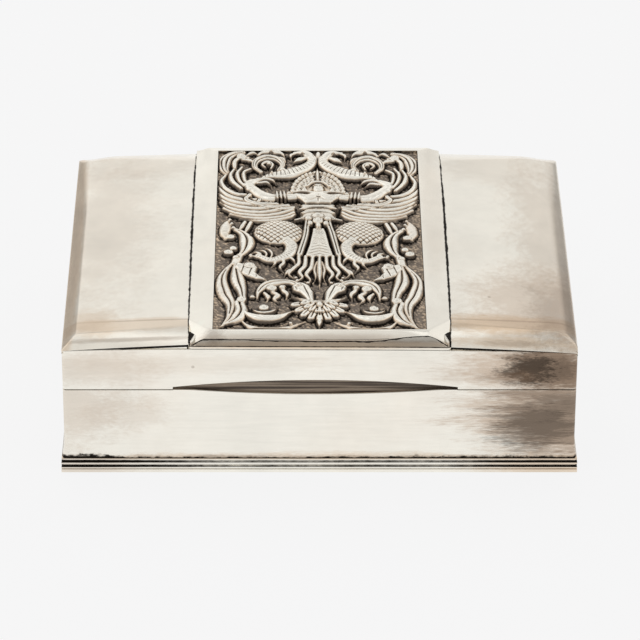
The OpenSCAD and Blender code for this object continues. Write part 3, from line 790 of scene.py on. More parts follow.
# Relief: a winged figure between scrolls, beaten up from the ground of the plate. Both halves are drawn
# once, with x counted from the middle outwards and y towards the back.
# Bands: points of the middle line, width, height, share of the width at either end, grooves along it
SCROLLS = (
    (((30, -16), (33, -23), (34.9, -31), (33.7, -41), (31.4, -49), (32, -58),
      (34, -64.6)), 5.6, 1.7, (0.3, 0.25), 1),
    (((29.6, -17), (29.4, -25), (29, -32), (27.6, -39), (27, -44)), 5.8, 2.0, (0.4, 0.6), 1),
    (((28.2, -48), (27.4, -54), (29.2, -59.5), (32.6, -63), (35, -65)), 5.8, 1.9, (0.9, 0.12), 1),
    (((21.6, -44.5), (21.2, -39), (18.6, -34.2), (14.2, -31.8), (10, -31.9),
      (7.6, -34)), 5.2, 2.0, (0.2, 0.6), 1),
    (((16.9, -38.6), (14.6, -41.6), (15.6, -44.8), (14.2, -47)), 2.9, 1.4, (0.7, 0.2), 0),
    (((19.2, -40), (17.8, -43), (18.2, -46)), 2.4, 1.3, (0.7, 0.1), 0),
    (((12.4, -35), (12.6, -38), (11.2, -41), (11.6, -44.6)), 2.4, 1.5, (0.9, 0.2), 0),
    (((5, -60.2), (11.5, -65.2), (18, -67), (24, -64.8), (27.5, -59.5)), 4.4, 1.5, (0.12, 0.25), 0),
    (((26.8, -50.4), (25.4, -56), (19.8, -59.6), (13.8, -58.2), (8.8, -52.8)), 5.2, 2.6, (0.1, 0.12), 0),
    (((23.2, -50.4), (22.6, -53.8), (19.4, -55.6), (16, -54.2), (14.6, -50)), 1.8, 2.0, (0.3, 0.2), 0),
    (((32.4, 18.4), (33.5, 14.4), (33.9, 10), (34.4, 6), (33.2, 2.4)), 5.0, 1.6, (0.12, 0.7), 0),
    (((30.8, 9.4), (27.6, 5.6), (26, -0.4), (26.6, -7), (28.9, -12.6)), 6.4, 2.0, (0.4, 0.4), 1),
    (((28.6, -11.6), (29.4, -14.6), (30, -18)), 4.0, 1.6, (0.8, 0.9), 0),
    (((24.6, 14.9), (26.8, 6.2)), 2.3, 1.5, (0.9, 0.6), 0),
    (((26.9, 14.6), (28.9, 8.4)), 2.3, 1.5, (0.9, 0.6), 0),
    (((14.6, 53), (13.2, 56.8), (15.2, 61), (19.6, 62.2), (23.1, 59.4), (23.6, 55),
      (21.4, 51.6)), 4.2, 2.0, (0.5, 0.5), 2),
    (((17.6, 53.8), (17, 56.8), (19, 58.4), (20.9, 56.7), (19.6, 54.6)), 2.2, 1.8, (0.6, 0.5), 0),
    (((11.8, 58), (13, 61.4), (16.6, 63.4)), 1.9, 1.4, (0.1, 0.6), 0),
    (((12.2, 62.4), (13.4, 65), (17, 66.4), (21, 65.8), (22.5, 64)), 4.1, 2.0, (0.15, 0.4), 0),
    (((22.2, 64.6), (24.6, 65.8), (27, 63.6)), 2.1, 1.4, (0.2, 0.5), 0),
    (((31.5, 48.6), (34.6, 52.4), (35.2, 57), (34, 61.5), (31.2, 64.8),
      (28.2, 66)), 5.6, 1.9, (0.35, 0.5), 2),
    (((30.2, 51.4), (31.2, 55), (31, 59), (29.2, 61.8)), 2.6, 1.7, (0.3, 0.8), 0),
    (((23.8, 58.2), (25.8, 60.2), (28.2, 60.4)), 2.5, 1.6, (0.1, 0.8), 0),
    (((25, 62.8), (26.6, 61.8), (28.4, 62.2)), 1.8, 1.5, (0.2, 0.8), 0),
)
# Serpents' bodies and jaws, drawn over the scrolls
SERPENTS = (
    (((1.8, 62), (2.6, 57.6), (5.4, 53.8), (9.2, 51), (13, 49.4), (17, 48.6), (20.6, 47.2),
      (23.2, 44)), 7.6, 2.6, (0.6, 0.12), 0),
    (((2.2, 60), (3.2, 63.4), (5.6, 65.4), (8.6, 65.6)), 5.2, 2.3, (0.7, 0.4), 0),
    (((3.8, 62.4), (6.6, 60.8), (9.8, 58.2)), 3.0, 1.9, (0.8, 0.1), 0),
    (((8, 65.4), (10, 63.8), (9.8, 61.2)), 1.9, 1.6, (0.8, 0.2), 0),
    (((19.6, 46.2), (17.6, 45.2), (16, 46.2)), 1.9, 1.7, (0.7, 0.2), 0),
)
# Long feathers from the lowest one to the uppermost, each lying over the one before, then the coverts
FEATHERS = (
    (((28.6, 17.2), (21.5, 15.2), (15, 15.8), (10.5, 18), (8.8, 20.4)), 2.9),
    (((32.2, 20.2), (26, 17.6), (19, 17), (13, 18.4), (9, 21.8)), 3.1),
    (((34.6, 24.2), (29.5, 20.5), (23, 19.2), (16, 20), (9.4, 24)), 3.3),
    (((35.8, 28.8), (32, 24.2), (26, 21.8), (18.5, 22.2), (10.4, 26)), 3.4),
    (((36.5, 33.6), (34, 28.4), (28, 25), (21, 24.6), (13, 27.4)), 3.4),
    (((36.8, 38.6), (35.4, 32.9), (30.5, 28.6), (24, 27.4), (17, 29)), 3.4),
    (((36.6, 43.6), (36.2, 38), (33, 33), (27.5, 30.6), (21, 31)), 3.3),
    (((34.2, 49), (35.8, 44), (34.4, 38.5), (30.5, 34.6), (25.5, 33.8)), 3.2),
    (((31.4, 52.8), (32.5, 48.6), (31.6, 43.8), (28.6, 38.6)), 3.0),
    (((28.4, 54.2), (30, 50), (29.4, 45), (27.6, 40.6)), 2.8),
    (((25.2, 53), (27.6, 50.6), (27.6, 46), (26.6, 41.4)), 2.6),
)
COVERTS = (
    (((17.4, 28.8), (16.4, 25.8), (12.6, 24.4), (9, 25.6)), 2.6),
    (((21.6, 31), (21.8, 27.8), (17, 25.8), (11, 27)), 2.7),
    (((25.4, 34.4), (26.6, 31), (22.4, 28), (15, 28)), 2.8),
)
# Limbs: points, width, height, share of the width at either end
LIMBS = (
    (((12.4, 1.6), (10, -3.6), (10.4, -9), (13, -13.4), (17.4, -15.4), (21.8, -12)), 5.4, 2.2, (1.0, 0.6)),
    (((13.2, -13.4), (12.6, -17.6), (13.9, -21), (12, -24.6)), 2.1, 1.8, (0.9, 0.08)),
    (((11.2, -12), (9.2, -15), (8.4, -17.8)), 1.7, 1.7, (0.9, 0.15)),
    (((15.8, -14.4), (15.8, -18), (17.4, -20)), 1.7, 1.5, (0.9, 0.15)),
    (((17.6, -14.4), (16.9, -10.4), (18.6, -6.8), (21.6, -5.4)), 1.5, 1.5, (0.7, 0.3)),
    (((19.4, -13.6), (18.9, -10.4), (20.6, -8), (23.2, -7.7)), 1.5, 1.6, (0.7, 0.3)),
    (((21.2, -13), (21, -11), (22.6, -9.8), (24.8, -10)), 1.5, 1.7, (0.7, 0.3)),
    (((22, -13.6), (23.6, -12.6), (25.4, -13.4)), 1.5, 1.6, (0.7, 0.3)),
    (((9, 33), (13.4, 32.4), (17.4, 32.2), (21.4, 34.8), (25, 39.4)), 6.2, 2.5, (0.75, 0.8)),
    (((25.2, 38.6), (25.6, 42), (22.6, 44.6)), 5.2, 2.6, (0.9, 0.6)),
    (((23.4, 44), (20, 45.2), (17, 44.4), (15.6, 42.6)), 2.2, 2.1, (1.0, 0.35)),
    (((22.4, 42.6), (19.4, 43), (17.4, 41.4)), 1.9, 1.9, (1.0, 0.35)),
)
# Tail: middle spike and wavy strands
TAIL = (
    (((2.4, -12), (2.9, -20), (4.6, -25.6), (3.3, -30), (4.6, -33)), 2.2, 1.6, (0.9, 0.35), 0),
    (((4.9, -12), (5.1, -19), (6.9, -24), (6, -28), (8, -31.4)), 2.3, 1.7, (0.9, 0.35), 0),
    (((7.3, -12.4), (7.3, -17.6), (9.4, -22), (10.6, -25.6), (9, -28.4)), 2.2, 1.6, (0.9, 0.35), 0),
    (((8.6, -20.6), (11, -23.4), (12.4, -27)), 1.7, 1.4, (0.6, 0.25), 0),
    (((0.9, -16), (1.8, -22), (1.4, -28), (2.3, -31.6)), 1.4, 1.3, (0.9, 0.2), 0),
)
# Balls and buds: x, y, half width, half depth, height, whether a ring is cut into it
BALLS = (
    (27.4, -46.3, 2.2, 2.2, 2.6, 1), (24.8, -20.6, 2.4, 2.4, 2.9, 1), (13, -36.4, 1.5, 1.5, 2.2, 0),
    (23.4, -43.2, 1.3, 1.1, 1.4, 0), (16.8, -37.2, 2.3, 2.3, 2.4, 1), (7.4, -35.6, 1.7, 1.6, 2.7, 1),
    (19.3, -52.2, 2.1, 2.1, 2.6, 1), (32.3, 15.4, 0.9, 0.9, 1.9, 0), (31.7, 12.6, 1.0, 1.0, 1.9, 0),
    (31.1, 9.4, 1.1, 1.1, 1.9, 0), (32.2, 2.4, 1.9, 1.9, 2.2, 1), (31, -7, 1.8, 1.8, 2.1, 0),
    (32.7, -10.2, 2.1, 2.1, 2.3, 1), (29.8, -13.4, 1.5, 1.5, 1.8, 0), (28.7, 62, 2.1, 2.1, 2.4, 1),
    (18.4, 56.6, 1.2, 1.2, 2.2, 0), (17.6, 65.2, 0.9, 0.9, 2.7, 1), (5.8, 63.7, 0.9, 0.9, 2.8, 1),
    (17.3, 49.2, 1.0, 1.0, 3.0, 1), (13.2, 53, 1.6, 1.3, 2.0, 0), (0, 64.4, 1.2, 2.8, 1.8, 0),
    (4.1, -32.6, 1.0, 1.0, 1.6, 0), (7.6, -31, 1.0, 1.0, 1.7, 0), (8.2, -28.6, 0.9, 0.9, 1.6, 0),
    (10.2, -62.6, 1.0, 1.0, 1.9, 0), (24.6, -12, 1.0, 1.0, 1.8, 0),
)
# Filled forms: outline, height, width of the rounding
TORSO = (
    (((-2, 16), (7.4, 16), (6.4, 21), (6.6, 28.2), (-2, 28.2)), 1.9, 2.6),
    (((-2, 27.6), (4.8, 27.6), (6.2, 29.8), (8.4, 32.2), (10.4, 35.4), (4.4, 34.6), (2.2, 36.9),
      (-2, 36.9)), 2.7, 2.6),
    (((-2, 9.4), (2.3, 9.4), (3.1, 3), (3.9, -4), (5.2, -11.2), (3.4, -12.8), (-2, -12.2)), 1.7, 0.7),
    (((-2, 51.6), (0, 51.6), (3.4, 49.6), (6.6, 46), (8.6, 42.4), (9.8, 38.4), (8.8, 35.4), (6.4, 34.6),
      (4, 35.8), (2.5, 37.6), (-2, 37.6)), 1.7, 3.0),
)
LEAVES = (
    (((9.9, -36), (8.6, -33), (5.6, -32.8), (3.2, -35.4), (1.7, -40), (1.5, -47.4), (4, -48.6),
      (5.2, -44.6), (7, -41), (9.4, -39)), 2.2, 1.7),
    (((30.4, -16.6), (27.2, -18.4), (23.4, -17.8), (21.7, -20.8), (22.4, -25), (20.6, -28.4), (17.8, -31.6),
      (22.6, -30.8), (27.6, -27), (30.6, -21.4)), 2.1, 2.0),
)


def smooth_curve(points, step=0.35):
    """Points about step apart on a cubic whose tangent is half the difference of a point's neighbours."""
    p = np.asarray(points, float)
    tangent = np.gradient(p, axis=0)
    out = []
    for a, b, m, n in zip(p[:-1], p[1:], tangent[:-1], tangent[1:]):
        t = np.linspace(0, 1, max(2, int(np.hypot(*(b - a)) / step)), endpoint=False)[:, None]
        out.append(
            (2 * t ** 3 - 3 * t * t + 1) * a + (t ** 3 - 2 * t * t + t) * m
            + (3 * t * t - 2 * t ** 3) * b + (t ** 3 - t * t) * n
        )
    return np.concatenate(out + [p[-1:]])


class Relief:
    """Heights over the ground on one half of the plate, as a grid of x from the middle and y."""

    def __init__(self, pitch):
        self.pitch = pitch
        self.x, self.y = np.meshgrid(
            np.arange(-1, PLATE_X + 1.5, pitch), np.arange(-PLATE_Y - 1, PLATE_Y + 1.5, pitch),
            indexing="ij",
        )
        self.h = np.zeros(self.x.shape)

    def window(self, points, margin):
        """Part of the grid within margin of the points."""
        low = np.floor((np.min(points, 0) - margin - [self.x[0, 0], self.y[0, 0]]) / self.pitch)
        high = np.ceil((np.max(points, 0) + margin - [self.x[0, 0], self.y[0, 0]]) / self.pitch) + 1
        (i, j), (k, m) = np.maximum(low, 0).astype(int), high.astype(int)
        return np.s_[i:k, j:m]

    def measure(self, line, part):
        """Distance of each grid point from a line, on which side it lies, and how far along."""
        p = np.stack([self.x[part], self.y[part]], -1)[:, :, None]
        a, step = line[:-1], np.diff(line, axis=0)
        t = np.clip(((p - a) * step).sum(-1) / (step ** 2).sum(-1), 0, 1)
        away = p - a - t[..., None] * step
        gap = np.hypot(away[..., 0], away[..., 1])
        best = gap.argmin(-1)[..., None]
        cross = step[:, 0] * away[..., 1] - step[:, 1] * away[..., 0]
        pick = [np.take_along_axis(v, best, -1)[..., 0] for v in (gap, cross, t)]
        return pick[0], np.sign(pick[1]), best[..., 0] + pick[2]

    def band(self, points, width, height, ends=(0.5, 0.5), grooves=0, over=None, ticks=0.0, power=0.5):
        """Rounded band: height * (1 - q * q) ** power, q being the distance over half the width.

        The width narrows to its share of ends. Grooves are cut along it and ticks across it. Where over
        is given, the band starts from that height and hides what lies below.
        """
        line = smooth_curve(points)
        part = self.window(line, width)
        gap, side, place = self.measure(line, part)
        u = place / (len(line) - 1)
        share = 1 - (1 - ends[0]) * (1 - smooth(0, 0.5, u)) - (1 - ends[1]) * smooth(0.5, 1, u)
        q = gap / (width / 2 * share)
        rise = height * share ** 0.4 * np.clip(1 - q * q, 0, 1) ** power
        if grooves:
            line_mark = np.cos(math.pi * (grooves + 1) * (side * q + 1) / 2) ** 2
            rise = rise * (1 - 0.42 * line_mark ** 5 * (q < 0.85) * (share > 0.45))
        if ticks:
            across = np.cos(math.pi * place * 0.35 / ticks + side * q * 0.7) ** 2
            rise = rise - 0.5 * across ** 10 * (np.abs(side * q - 0.15) < 0.62) * (q < 1)
        if over is None:
            self.h[part] = np.maximum(self.h[part], rise)
        else:
            self.h[part] = np.where(q < 1, over + rise, self.h[part])

    def ball(self, x, y, rx, ry, height, ring):
        """Dome height * sqrt(1 - r * r) on an ellipse, with a groove at half its radius if asked."""
        part = self.window([(x, y)], max(rx, ry))
        r = np.hypot((self.x[part] - x) / rx, (self.y[part] - y) / ry)
        rise = height * np.clip(1 - r ** 2, 0, 1) ** 0.4
        rise = rise - ring * 0.35 * np.exp(-((r - 0.52) / 0.12) ** 2)
        self.h[part] = np.where(r < 1, np.maximum(self.h[part] * (r > 0.9), rise), self.h[part])

    def form(self, outline, height, rounding, pattern=None):
        """Filled outline that rises to height over the width of the rounding, as a quarter circle."""
        p = np.asarray(outline + outline[:1], float)
        dense = np.concatenate([np.linspace(a, b, 9, endpoint=False) for a, b in zip(p[:-1], p[1:])] + [p[:1]])
        part = self.window(dense, 0.5)
        gap = self.measure(dense, part)[0]
        x, y = self.x[part][..., None], self.y[part][..., None]
        (ax, ay), (bx, by) = p[:-1].T, p[1:].T
        cuts = ((ay > y) != (by > y)) & (x < ax + (y - ay) * (bx - ax) / np.where(by == ay, 1, by - ay))
        inside = cuts.sum(-1) % 2 == 1
        t = np.clip(gap / rounding, 0, 1)
        rise = height * np.sqrt(1 - (1 - t) ** 2)
        if pattern:
            rise = rise + pattern(self.x[part], self.y[part]) * smooth(0.5, 1.3, gap)
        self.h[part] = np.where(inside, np.maximum(self.h[part], rise), self.h[part])

    def sample(self, x, y):
        """Heights at (x, y), taken from the grid by bilinear interpolation."""
        u, v = (x - self.x[0, 0]) / self.pitch, (y - self.y[0, 0]) / self.pitch
        i = np.clip(u.astype(int), 0, self.h.shape[0] - 2)
        j = np.clip(v.astype(int), 0, self.h.shape[1] - 2)
        a, b = u - i, v - j
        low = self.h[i, j] * (1 - a) + self.h[i + 1, j] * a
        high = self.h[i, j + 1] * (1 - a) + self.h[i + 1, j + 1] * a
        return low * (1 - b) + high * b


def mesh_pattern(pitch, depth, lean=1.0):
    """Diamond net: grooves where either of two slanting waves passes through nothing."""
    def cut(x, y):
        a = np.abs(np.sin(math.pi * (x + lean * y) / pitch))
        b = np.abs(np.sin(math.pi * (x - lean * y) / pitch))
        return -depth * (1 - smooth(0.0, 0.5, np.minimum(a, b)))
    return cut


def breast(x, y):
    """Groove down the middle of the chest and a shallow arc under either side."""
    arc = np.exp(-((np.hypot(x - 4, y - 33) - 3.6) / 0.5) ** 2) * (y < 32)
    return -0.5 * np.exp(-(x / 0.5) ** 2) * smooth(27.5, 29.5, y) * (1 - smooth(31, 34, y)) - 0.4 * arc


def veins(x, y):
    """Grooves that follow the length of a leaf."""
    return -0.5 * (1 - smooth(0.0, 0.5, np.abs(np.sin(math.pi * (x + 0.25 * np.abs(y + 34)) / 3.0))))


def chevrons(x, y):
    """Chevrons on the lower half of the skirt's front and a fine net on its upper half."""
    net = mesh_pattern(1.25, 0.3)(x, y)
    rows = -0.35 * (1 - smooth(0.0, 0.55, np.abs(np.sin(math.pi * (y + 0.5 * x) / 2.1))))
    return np.where(y > -2.5, net, rows)


def build_relief(pitch):
    """The whole half: ground work first, then what lies over it."""
    r = Relief(pitch)
    for points, width, height, ends, grooves in SCROLLS + TAIL:
        r.band(points, width, height, ends, grooves)
    for k, (points, width) in enumerate(FEATHERS):
        r.band(points, width, 1.8, (0.62, 0.8), 0, over=0.03 * k, power=1.0)
    for points, width in COVERTS:
        r.band(points, width, 1.3, (0.7, 0.7), 1, over=0.6, power=0.6)
    for outline, height, rounding in TORSO:
        r.form(outline, height, rounding, {9.4: chevrons, 27.6: breast}.get(outline[0][1]))
    for outline, height, rounding in LEAVES:
        r.form(outline, height, rounding, veins)
    for points, width, height, ends in LIMBS:
        r.band(points, width, height, ends, ticks=1.1 if width == 5.4 else 0.0)
    thigh = tuple((14.6 + 9.3 * math.cos(a), 6.6 + 9.4 * math.sin(a)) for a in np.linspace(0, 6.0, 20))
    r.form(thigh, 2.5, 6.0, mesh_pattern(2.3, 0.7, 0.85))
    for points, width, height, ends, grooves in SERPENTS:
        r.band(points, width, height, ends, grooves, ticks=1.5 if width > 6 else 0.0)
    for k in range(3):
        x = 12 + 1.4 * k
        r.band(((x, 29.4), (x + 0.5, 34.8)), 1.3, 0.9, (0.8, 0.8), over=2.1)
    r.band(((3.8, 14.4), (5.2, 2), (7, -11)), 2.8, 2.1, (0.95, 0.95), 1, power=0.3)
    r.band(((-1, 16.2), (4, 16.6), (8.6, 15.6)), 2.4, 2.2, (1, 0.6), 1)
    r.band(((-1, 24.9), (3.6, 24.5), (6.8, 22.4)), 1.5, 0.8, (1, 0.8), over=1.9)
    r.band(((-1, 21.6), (3.4, 21.3), (6.4, 19.4)), 1.1, 0.6, (1, 0.8), over=1.9)
    r.band(((0, 35.5), (5, 35.6), (10.4, 35.2)), 1.5, 2.5, (1, 0.8))
    for item in ((3.6, 15.8, 1.9, 1.7, 2.8, 0), (2.9, 12.4, 1.5, 1.8, 2.7, 0), (0, 10.6, 1.5, 2.2, 2.9, 0),
                 (0, 14.2, 2.4, 2.6, 3.2, 1), (0, 18.3, 2.7, 1.9, 3.1, 1)):
        r.ball(*item)
    r.band(((0, -12), (0, -24), (0, -36)), 3.0, 2.1, (0.7, 0.04), power=0.9)
    crown(r)
    for item in BALLS:
        r.ball(*item)
    boss(r)
    return r


def boss(r):
    """Lotus boss at the foot: petals that fan out from a collar, a bead and a drop."""
    for ring, (start, end, width) in enumerate(((0.62, 0.96, 3.7), (0.34, 0.62, 3.2))):
        for a in np.radians(np.linspace(0, 76 - 12 * ring, 5 - ring) + 8 * ring):
            inner, outer = (
                (9.6 * k * math.sin(a), -46.4 - 13.4 * k * math.cos(a)) for k in (start, end)
            )
            r.band((inner, outer), width, 1.8, (0.8, 0.9), 1, over=0.2 + 0.6 * ring, power=0.6)
    r.band(((-1, -48.6), (3, -48.2), (7, -46.6), (9.6, -44.2)), 2.2, 2.9, (1, 0.4), 1)
    r.band(((0, -58), (0, -61), (0, -65.4)), 2.6, 1.9, (0.9, 0.15))
    r.ball(0, -50.4, 1.6, 2.2, 3.3, 0)


def crown(r):
    """Tall crown over a small plain face: three rows of leaves, a ridge, a brow band and side curls."""
    for row, (rx, ry, count) in enumerate(((9.3, 13.6, 9), (7.2, 10.4, 7), (5.1, 7.2, 5))):
        for a in np.radians(np.linspace(3, 84, count) + 3 * row):
            r.ball(rx * math.cos(a), 37 + ry * math.sin(a), 1.2, 1.5, 1.9 + 0.25 * row, 1)
    r.ball(10.6, 35.6, 1.3, 1.1, 2.1, 1)
    r.band(((0, 52.4), (0, 43.4)), 1.5, 1.0, (0.3, 0.9), over=1.8)
    r.band(((-1, 42.4), (2.2, 42), (4, 39.6)), 1.4, 1.0, (1, 0.7), over=1.7)
    r.ball(0, 38.9, 2.5, 3.0, 2.5, 0)
    r.band(((-1, 40.6), (1.1, 40.8), (1.9, 40.2)), 0.5, 0.25, (1, 0.5), over=2.3)
    r.band(((0.7, 39.6), (1.5, 39.6)), 0.5, 0.25, (0.5, 0.5), over=2.25)
    r.band(((0, 40.4), (0, 38.6)), 0.6, 0.45, (0.6, 1), over=2.4)
    r.band(((-1, 37.6), (0.7, 37.6)), 0.45, 0.2, (1, 0.5), over=2.2)


def blur(values, reach):
    """Mean over a square of 2 * reach + 1 cells, with the border repeated outwards."""
    for axis in (0, 1):
        padded = np.pad(values, [(reach + 1, reach) if k == axis else (0, 0) for k in (0, 1)], "edge")
        total = np.cumsum(padded, axis)
        span = 2 * reach + 1
        values = (np.take(total, range(span, total.shape[axis]), axis)
                  - np.take(total, range(total.shape[axis] - span), axis)) / span
    return values


class TABLEBOX_OT_relief(bpy.types.Operator):
    """Makes the relief: a winged figure between scrolls on a punched ground"""

    bl_idname = "tablebox.relief"
    bl_label = "Relief"

    def execute(self, context):
        sizes = context.scene.table_box_sizes
        pitch = sizes.relief_pitch / MM
        x, y = (np.linspace(-w, w, int(2 * w / pitch)) for w in (WINDOW_X, WINDOW_Y))
        gx, gy = np.meshgrid(x, y, indexing="ij")
        bend_x = gx + 0.35 * cloud(gx, gy, 11, 91)
        bend_y = gy + 4 * np.exp(-((gy - 14) / 46) ** 2) + 0.022 * gx + 0.35 * cloud(gx, gy, 12, 92)
        h = build_relief(pitch).sample(np.abs(bend_x), bend_y) * sizes.relief_height
        h = h * (0.94 + 0.1 * cloud(gx, gy, 7, 93))
        bare = 1 - smooth(0.05, 0.5, h)
        dots = 1.4 * cloud(gx + gy, 0.5 * (gy - gx), 0.62, 94) + 0.5 * cloud(gx, gy, 0.7, 95)
        dots = np.clip(dots, -1, 1)
        mean, near = blur(blur(h, 4), 4), blur(h, 2)
        # Black in the recesses: oxide that the chasing holds, with painted shade where the relief is concave
        # and in the stipple's pits.
        cavity = np.clip((mean - h) * 1.3 + (near - h) * 2.6, 0, 1) + 0.35 * bare * np.clip(-dots, 0, 1)
        edge = smooth(0, 0.8, np.minimum(WINDOW_X - np.abs(gx), WINDOW_Y - np.abs(gy)))
        h = h * edge + sizes.stipple / MM * dots * bare * edge
        h = h + 0.05 * cloud(gx, gy, 0.8, 96) + 0.04 * cloud(gx, gy, 2.3, 97)
        # Painted highlight with some wear: level high crests lighter, slopes and low forms darker as painted
        # shade; the ground lighter on its specks and towards the sides.
        highlight_and_wear = lit_and_worn(h, mean, pitch) + bare * (0.22 * np.clip(dots, 0, 1) + 0.1 * smooth(31, 37, np.abs(gx)))
        material = chased_silver(context)
        cuts = np.linspace(0, len(y) - 1, 4).astype(int)
        for k, (a, b) in enumerate(zip(cuts[:-1], cuts[1:])):
            part = np.s_[:, a:b + 1]
            piece = plate_strip(
                f"relief_{k + 1}", gx[part], gy[part], GROUND_Z + h[part],
                {"cavity": cavity[part], "highlight_and_wear": highlight_and_wear[part]},
            )
            finish_piece(piece, "lid", ["relief_plate"], material)
        return {"FINISHED"}


def lit_and_worn(h, mean, pitch):
    """Share of painted highlight, with some wear: most on high, level and raised places, least on slopes and
    low forms, which are painted as shade.
    """
    slope = blur(np.hypot(*np.gradient(h, pitch)), 1)
    level = 1 - 0.9 * smooth(0.45, 1.9, slope)
    high = smooth(0.15, 0.6, h) * (0.62 + 0.38 * smooth(0.7, 1.9, h))
    return level * high * np.clip(0.75 + (h - mean) * 0.9, 0.35, 1)


def plate_strip(name, gx, gy, z, marks):
    """Closed strip of the plate: the relief on top, upright sides, and a flat foot."""
    rows, cols = z.shape
    ring = border_of(rows, cols)
    top = np.stack([gx, gy, z], -1).reshape(-1, 3)
    foot = top[ring] * [1, 1, 0] + [0, 0, PLATE_FOOT]
    low = rows * cols + np.arange(len(ring))
    walls = np.stack([ring, low, np.roll(low, -1), np.roll(ring, -1)], -1)
    values = {key: np.concatenate([v.ravel(), np.zeros(len(ring))]) for key, v in marks.items()}
    quads = np.concatenate([grid_faces(rows, cols), walls])
    return make_piece(name, np.concatenate([top, foot]), quads, (low[::-1],), values, 180)


# Materials


def set_material(node, material):
    """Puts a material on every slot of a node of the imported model."""
    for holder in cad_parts[node].material_slots:
        holder.material = material


class Graph:
    """Adds nodes to a tree and joins their sockets."""

    def __init__(self, tree):
        self.tree = tree

    def node(self, kind, inputs=None, **settings):
        """A node of that kind; inputs maps its sockets to a value or to another node's socket."""
        node = self.tree.nodes.new(kind)
        for key, value in settings.items():
            setattr(node, key, value)
        for key, value in (inputs or {}).items():
            if isinstance(value, bpy.types.NodeSocket):
                self.tree.links.new(value, node.inputs[key])
            else:
                node.inputs[key].default_value = value
        return node

    def add(self, kind, out=0, inputs=None, **settings):
        """One output socket of a new node."""
        return self.node(kind, inputs, **settings).outputs[out]

    def math(self, operation, a, b=0.0, c=0.0, clamp=False):
        """A number from up to three others; operation and clamp as in the node."""
        return self.add("ShaderNodeMath", 0, {0: a, 1: b, 2: c}, operation=operation, use_clamp=clamp)

    def vector(self, operation, a, b=(0.0, 0.0, 0.0), out=0):
        """A vector from two others, or its length from the output Value."""
        return self.add("ShaderNodeVectorMath", out, {0: a, 1: b}, operation=operation)

    def mix(self, factor, a, b, blend="MIX"):
        """Colour a mixed with colour b by factor."""
        return self.add("ShaderNodeMix", 2, {0: factor, 6: a, 7: b}, data_type="RGBA", blend_type=blend)

    def ramp(self, value, low, high, out_low=0.0, out_high=1.0):
        """value taken from the range low to high into out_low to out_high, by a smooth step."""
        return self.add(
            "ShaderNodeMapRange", 0, {0: value, 1: low, 2: high, 3: out_low, 4: out_high},
            interpolation_type="SMOOTHSTEP",
        )

    def noise(self, vector, scale, detail, rough):
        """Cloudy noise of 0 to 1."""
        return self.add(
            "ShaderNodeTexNoise", 0,
            {"Vector": vector, "Scale": scale, "Detail": detail, "Roughness": rough},
        )

    def swing(self, vector, scale, detail, rough):
        """Cloudy noise about zero."""
        return self.math("SUBTRACT", self.noise(vector, scale, detail, rough), 0.5)

    def shaded(self, base, tone):
        """Colour base made lighter or darker by tone."""
        shade = self.math("ADD", tone, 1.0)
        grey = self.add("ShaderNodeCombineColor", 0, {0: shade, 1: shade, 2: shade})
        return self.mix(1.0, base, grey, "MULTIPLY")

    def surface(self, base, metallic, roughness, height, strength, distance):
        """Ends the tree in a Principled surface with a fine bump."""
        bump = self.add("ShaderNodeBump", 0, {"Strength": strength, "Distance": distance, "Height": height})
        surface = self.add("ShaderNodeBsdfPrincipled", 0, {
            "Base Color": base, "Metallic": metallic, "Roughness": roughness, "Normal": bump,
        })
        self.node("ShaderNodeOutputMaterial", {0: surface})


def new_material(name):
    """Material with an empty tree, and the graph of that tree."""
    material = bpy.data.materials.new(name)
    material.use_nodes = True
    material.node_tree.nodes.clear()
    return material, Graph(material.node_tree)


def shader_group(name, inputs, outputs, build):
    """Shader node group, made once: build(graph, sockets of the inputs) returns what its outputs carry.

    inputs and outputs map the name of each socket to its kind.
    """
    if name not in bpy.data.node_groups:
        g = Graph(bpy.data.node_groups.new(name, "ShaderNodeTree"))
        for way, sockets in (("INPUT", inputs), ("OUTPUT", outputs)):
            for label, kind in sockets.items():
                g.tree.interface.new_socket(label, in_out=way, socket_type=f"NodeSocket{kind}")
        results = build(g, g.node("NodeGroupInput").outputs)
        g.node("NodeGroupOutput", dict(enumerate(results)))
    return bpy.data.node_groups[name]


def stain_mask(g, given):
    """Mask of one stain, and also of one painted reflection band: an ellipsoid around Centre, with its edge
    broken up by streaky noise.
    """
    away = g.vector("DIVIDE", g.vector("SUBTRACT", given["Vector"], given["Centre"]), given["Size"])
    streaks = g.vector("MULTIPLY", given["Vector"], given["Streak"])
    fine = g.math("MULTIPLY", g.swing(streaks, 7.0, 3.0, 0.7), 0.7)
    broken = g.math("ADD", g.swing(streaks, 1.0, 5.0, 0.65), fine)
    shifted = g.math("MULTIPLY_ADD", broken, given["Breakup"], g.vector("LENGTH", away, out="Value"))
    low, high = g.math("SUBTRACT", 1.0, given["Edge"]), g.math("ADD", 1.0, given["Edge"])
    return (g.ramp(shifted, low, high, 1.0, 0.0),)


